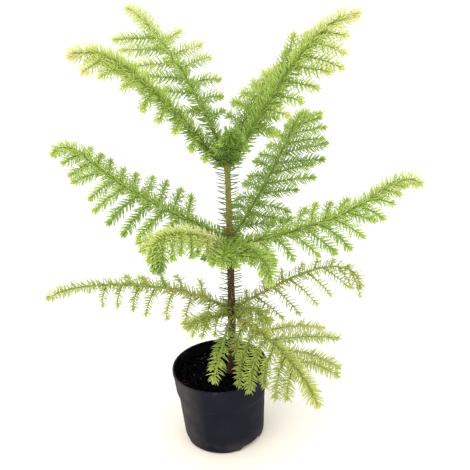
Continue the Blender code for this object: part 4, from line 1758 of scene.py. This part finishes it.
@dataclass
class Crown:
    """The boughs, twigs and needles of every frond, the needles on the trunk and the leader on its tip.

    A stem has three tints, which change at cuts, parts of its length. The first change is later by bare_part
    of its bare bough. The feet of stems and branchlets are darker by their own shade.
    """

    needle: NeedleShape = NeedleShape()
    leader: Leader = Leader()
    bough_rings: int = 40
    bough_sides: int = 20
    bough_collar: float = 0.0005
    bough_collar_reach: float = 0.0016
    bough_relief: float = 0.00014
    bough_waves: Span = (2.0, 400.0)
    stem_sides: int = 8
    stem_step: float = 0.004
    stem_least_rings: int = 4
    cuts: Span = (0.10, 0.35)
    bare_part: float = 0.7
    narrow_from: float = 0.9
    narrowing: float = 0.45
    stem_shade: float = 0.05
    fur_place: float = 0.6
    foot_gap: float = 0.002
    branchlet_rings: int = 9
    branchlet_sides: int = 6
    branchlet_root_radius: float = 0.00075
    branchlet_tip_radius: float = 0.00040
    branchlet_shade: float = 0.08
    olive_to: float = 0.25
    twigs: Batches = field(default_factory=lambda: defaultdict(MeshBatch))
    needles: Batches = field(default_factory=lambda: defaultdict(MeshBatch))

    def deal(self, whorl: Whorl, run: NeedleRun) -> None:
        """Deals a run of needles out to the batches of its whorl, by tone.

        Args:
            whorl: The whorl that they belong to.
            run: The needles.
        """
        tints = list(NeedleTint)
        chosen = np.clip(np.floor(run.tone * len(tints)).astype(int), 0, len(tints) - 1)
        for number, tint in enumerate(tints):
            picked = chosen == number
            if picked.any():
                part = NeedleRun(**{name: value[picked] for name, value in vars(run).items()})
                self.needles[whorl, tint].add(*self.needle.mesh(part))

    def grow_bough(self, frond: Frond, line: Line) -> None:
        """Makes a bough with fine relief, from inside the trunk to where its foliage starts.

        Args:
            frond: The frond that it carries.
            line: The stem's middle line.
        """
        runs = np.linspace(0.0, frond.bare, self.bough_rings)
        around, along = self.bough_waves
        relief = ring_noise(bearings(self.bough_sides), runs * along + frond.azimuth, around)
        out = np.maximum(runs - TRUNK.radius(frond.height), 0.0)
        radii = frond.radius(runs) + self.bough_collar * np.exp(-out / self.bough_collar_reach)
        batch = MeshBatch()
        batch.add_tube(line.at(runs), radii[:, None] + self.bough_relief * relief, self.bough_sides)
        bark = STYLES[frond.whorl].bark.material()
        batch.mount(f"limb_{frond.name}", bark, "bough_bark", f"bough_{frond.name}")

    def grow_stem(self, frond: Frond, line: Line) -> None:
        """Makes the stem that carries on from the bough to the tip, in its whorl's three tints.

        Args:
            frond: The frond.
            line: The stem's middle line.
        """
        first, second = (part * frond.length for part in self.cuts)
        cuts = (frond.bare, first + self.bare_part * frond.bare, second, frond.length)
        for tint, start, end in zip(STYLES[frond.whorl].stems, cuts, cuts[1:]):
            runs = np.linspace(start, end, max(self.stem_least_rings, int((end - start) / self.stem_step)))
            narrow = 1.0 - self.narrowing * smooth_step(self.narrow_from, 1.0, runs / frond.length)
            radii = frond.radius(runs) * narrow
            self.twigs[frond.whorl, tint].add_tube(line.at(runs), radii, self.stem_sides)

    def grow_branchlet(self, frond: Frond, branchlet: Branchlet, coat: NeedleCoat,
                       rng: np.random.Generator) -> None:
        """Makes a branchlet and its needles.

        Args:
            frond: The frond that it belongs to.
            branchlet: The branchlet.
            coat: How its needles stand.
            rng: The frond's source of random numbers.
        """
        line = branchlet.line
        runs = np.linspace(0.0, line.length, self.branchlet_rings)
        radii = np.linspace(self.branchlet_root_radius, self.branchlet_tip_radius, len(runs))
        tint = TwigTint.OLIVE if branchlet.part < self.olive_to else TwigTint.GREEN
        self.twigs[frond.whorl, tint].add_tube(line.at(runs), radii, self.branchlet_sides)
        hang = max(0.0, line.points[0, 2] - line.points[-1, 2]) / CENTIMETRE
        # Painted shade: a branchlet's tip is darker for each centimetre that it hangs below its root.
        tip_tone = branchlet.tone + STYLES[frond.whorl].tip_gain - frond.under * hang
        tone = (branchlet.tone - self.branchlet_shade, tip_tone)
        self.deal(frond.whorl, coat.clothe(line, self.foot_gap, self.branchlet_root_radius, tone, rng))
        self.deal(frond.whorl, coat.crowd_tip(line, self.branchlet_tip_radius, tip_tone, rng))

    def grow_frond(self, frond: Frond) -> None:
        """Makes a bough, its stem, its branchlets and all their needles.

        Args:
            frond: The frond.
        """
        rng = number_source(frond.name)
        path = frond.path()
        line = Line(np.array([point for point, _ in path]))
        self.grow_bough(frond, line)
        self.grow_stem(frond, line)
        style = STYLES[frond.whorl]
        fur, coat = (replace(kind, pitch=kind.pitch * frond.thin) for kind in (style.fur, style.coat))
        start = float(TRUNK.radius(frond.height)) + self.foot_gap
        radius = frond.radius(self.fur_place * frond.length)
        tone = (frond.tone_at(0.0) - self.stem_shade, frond.tone_at(1.0))
        self.deal(frond.whorl, fur.clothe(line, start, radius, tone, rng))
        self.deal(frond.whorl, fur.crowd_tip(line, RULE.stem_tip_radius, tone[1], rng))
        for branchlet in frond.branchlets(path):
            self.grow_branchlet(frond, branchlet, coat, rng)

    def mount(self) -> None:
        """Makes the pieces of every whorl, each in one tint."""
        for whorl in Whorl:
            nodes = [f"foliage_{frond.name}" for frond in FRONDS if frond.whorl is whorl]
            if whorl is Whorl.TOP:
                nodes.append("foliage_leader")
            finishes = [("twigs", self.twigs, TwigFinish(tint)) for tint in TwigTint]
            finishes += [("needles", self.needles, NeedleFinish(tint, whorl)) for tint in NeedleTint]
            for kind, batches, finish in finishes:
                if (whorl, finish.tint) in batches:
                    name = f"{whorl.label}_{kind}_{finish.tint.label}"
                    batches[whorl, finish.tint].mount(name, finish.material(), "foliage", *nodes)

    def build(self) -> None:
        """Grows every part of the crown and makes its pieces."""
        for frond in FRONDS:
            self.grow_frond(frond)
        for sleeve in TRUNK_NEEDLES:
            self.deal(sleeve.whorl, sleeve.grow())
        twigs = self.twigs[Whorl.TOP, TwigTint.GREEN]
        twigs.add_tube(self.leader.line().points, self.leader.radii(), self.stem_sides)
        self.deal(Whorl.TOP, self.leader.grow())
        self.mount()


# Studio


@dataclass(frozen=True)
class SoftLight:
    """A large square area light that is aimed at the plant's middle."""

    name: str
    place: Place
    power: float
    colour: Colour = WHITE
    aim: Place = (0.0, 0.0, 0.2)
    size: float = 1.2

    def build(self) -> None:
        """Makes the light."""
        lamp = bpy.data.lights.new(self.name, "AREA")
        lamp.shape = "SQUARE"
        lamp.size = self.size
        lamp.energy = self.power
        lamp.color = self.colour
        thing = bpy.data.objects.new(self.name, lamp)
        thing.location = self.place
        thing.rotation_mode = "QUATERNION"
        thing.rotation_quaternion = (Vector(self.aim) - Vector(self.place)).to_track_quat("-Z", "Y")
        bpy.context.scene.collection.objects.link(thing)


@dataclass(frozen=True)
class Studio:
    """The pale floor with a warm shade painted round the pot, the soft light and the camera."""

    camera_place: Place = (0.0250, -0.5593, 0.4570)
    pitch: float = -21.58
    roll: float = -3.5
    focal_pixels: float = 600.0
    frame_pixels: float = 470.0
    sensor: float = 36.0
    nearest: float = 0.01
    floor_size: float = 60.0
    floor_colour: Colour = (0.990, 0.988, 0.980)
    # A warm painted shade round the pot, fading to the plain floor colour over the band below.
    floor_tint: Colour = (0.960, 0.900, 0.800)
    floor_roughness: float = 0.9
    floor_specular: float = 0.1
    tint_fade: Band = Band(0.05, 0.18)
    sky_colour: Colour = WHITE
    sky_strength: float = 1.27
    lights: tuple[SoftLight, ...] = (
        SoftLight("key", (-0.8, -0.9, 1.5), 11.0, (1.0, 0.99, 0.96)),
        SoftLight("fill", (1.4, -0.9, 0.9), 5.0),
    )

    def build_camera(self) -> None:
        """Makes the camera at the photograph's viewing angle."""
        data = bpy.data.cameras.new("camera")
        data.sensor_width = self.sensor
        data.lens = self.sensor * self.focal_pixels / self.frame_pixels
        data.clip_start = self.nearest
        camera = bpy.data.objects.new("camera", data)
        tip = Matrix.Rotation(math.radians(QUARTER_TURN + self.pitch), 4, "X")
        roll = Matrix.Rotation(math.radians(self.roll), 4, "Z")
        camera.matrix_world = Matrix.Translation(self.camera_place) @ tip @ roll
        bpy.context.scene.collection.objects.link(camera)
        bpy.context.scene.camera = camera

    def build_floor(self) -> None:
        """Makes the floor."""
        half = self.floor_size / 2.0
        batch = MeshBatch()
        batch.add(np.array([(-half, -half, 0.0), (half, -half, 0.0), (half, half, 0.0), (-half, half, 0.0)]),
                  np.arange(4)[None, :])
        made = Shader("pale_floor", self.floor_colour, self.floor_roughness, self.floor_specular)
        # Painted shade: warmer and darker near the pot, fading out with distance from the middle.
        place = made.node("ShaderNodeNewGeometry").outputs["Position"]
        fade = made.spread(made.work_out("ShaderNodeVectorMath", "LENGTH", place), self.tint_fade)
        batch.build("floor", made.dress(made.blend(fade, self.floor_tint, self.floor_colour)))

    def build_sky(self) -> None:
        """Lights the scene evenly from all round."""
        world = bpy.data.worlds.new("studio")
        world.use_nodes = True
        light = world.node_tree.nodes["Background"]
        light.inputs["Color"].default_value = (*self.sky_colour, 1.0)
        light.inputs["Strength"].default_value = self.sky_strength
        bpy.context.scene.world = world
        bpy.context.scene.view_settings.view_transform = "Standard"

    def build(self) -> None:
        """Builds the whole studio."""
        self.build_camera()
        self.build_floor()
        self.build_sky()
        for light in self.lights:
            light.build()


def main() -> None:
    """Builds the studio, the pot, the peat, the trunk and the crown."""
    logging.basicConfig(level=logging.INFO, format="%(name)s: %(message)s")
    Studio().build()
    NurseryPot.from_frame().build()
    PeatBed().build()
    TRUNK.build()
    Crown().build()


if __name__ == "__main__":
    main()
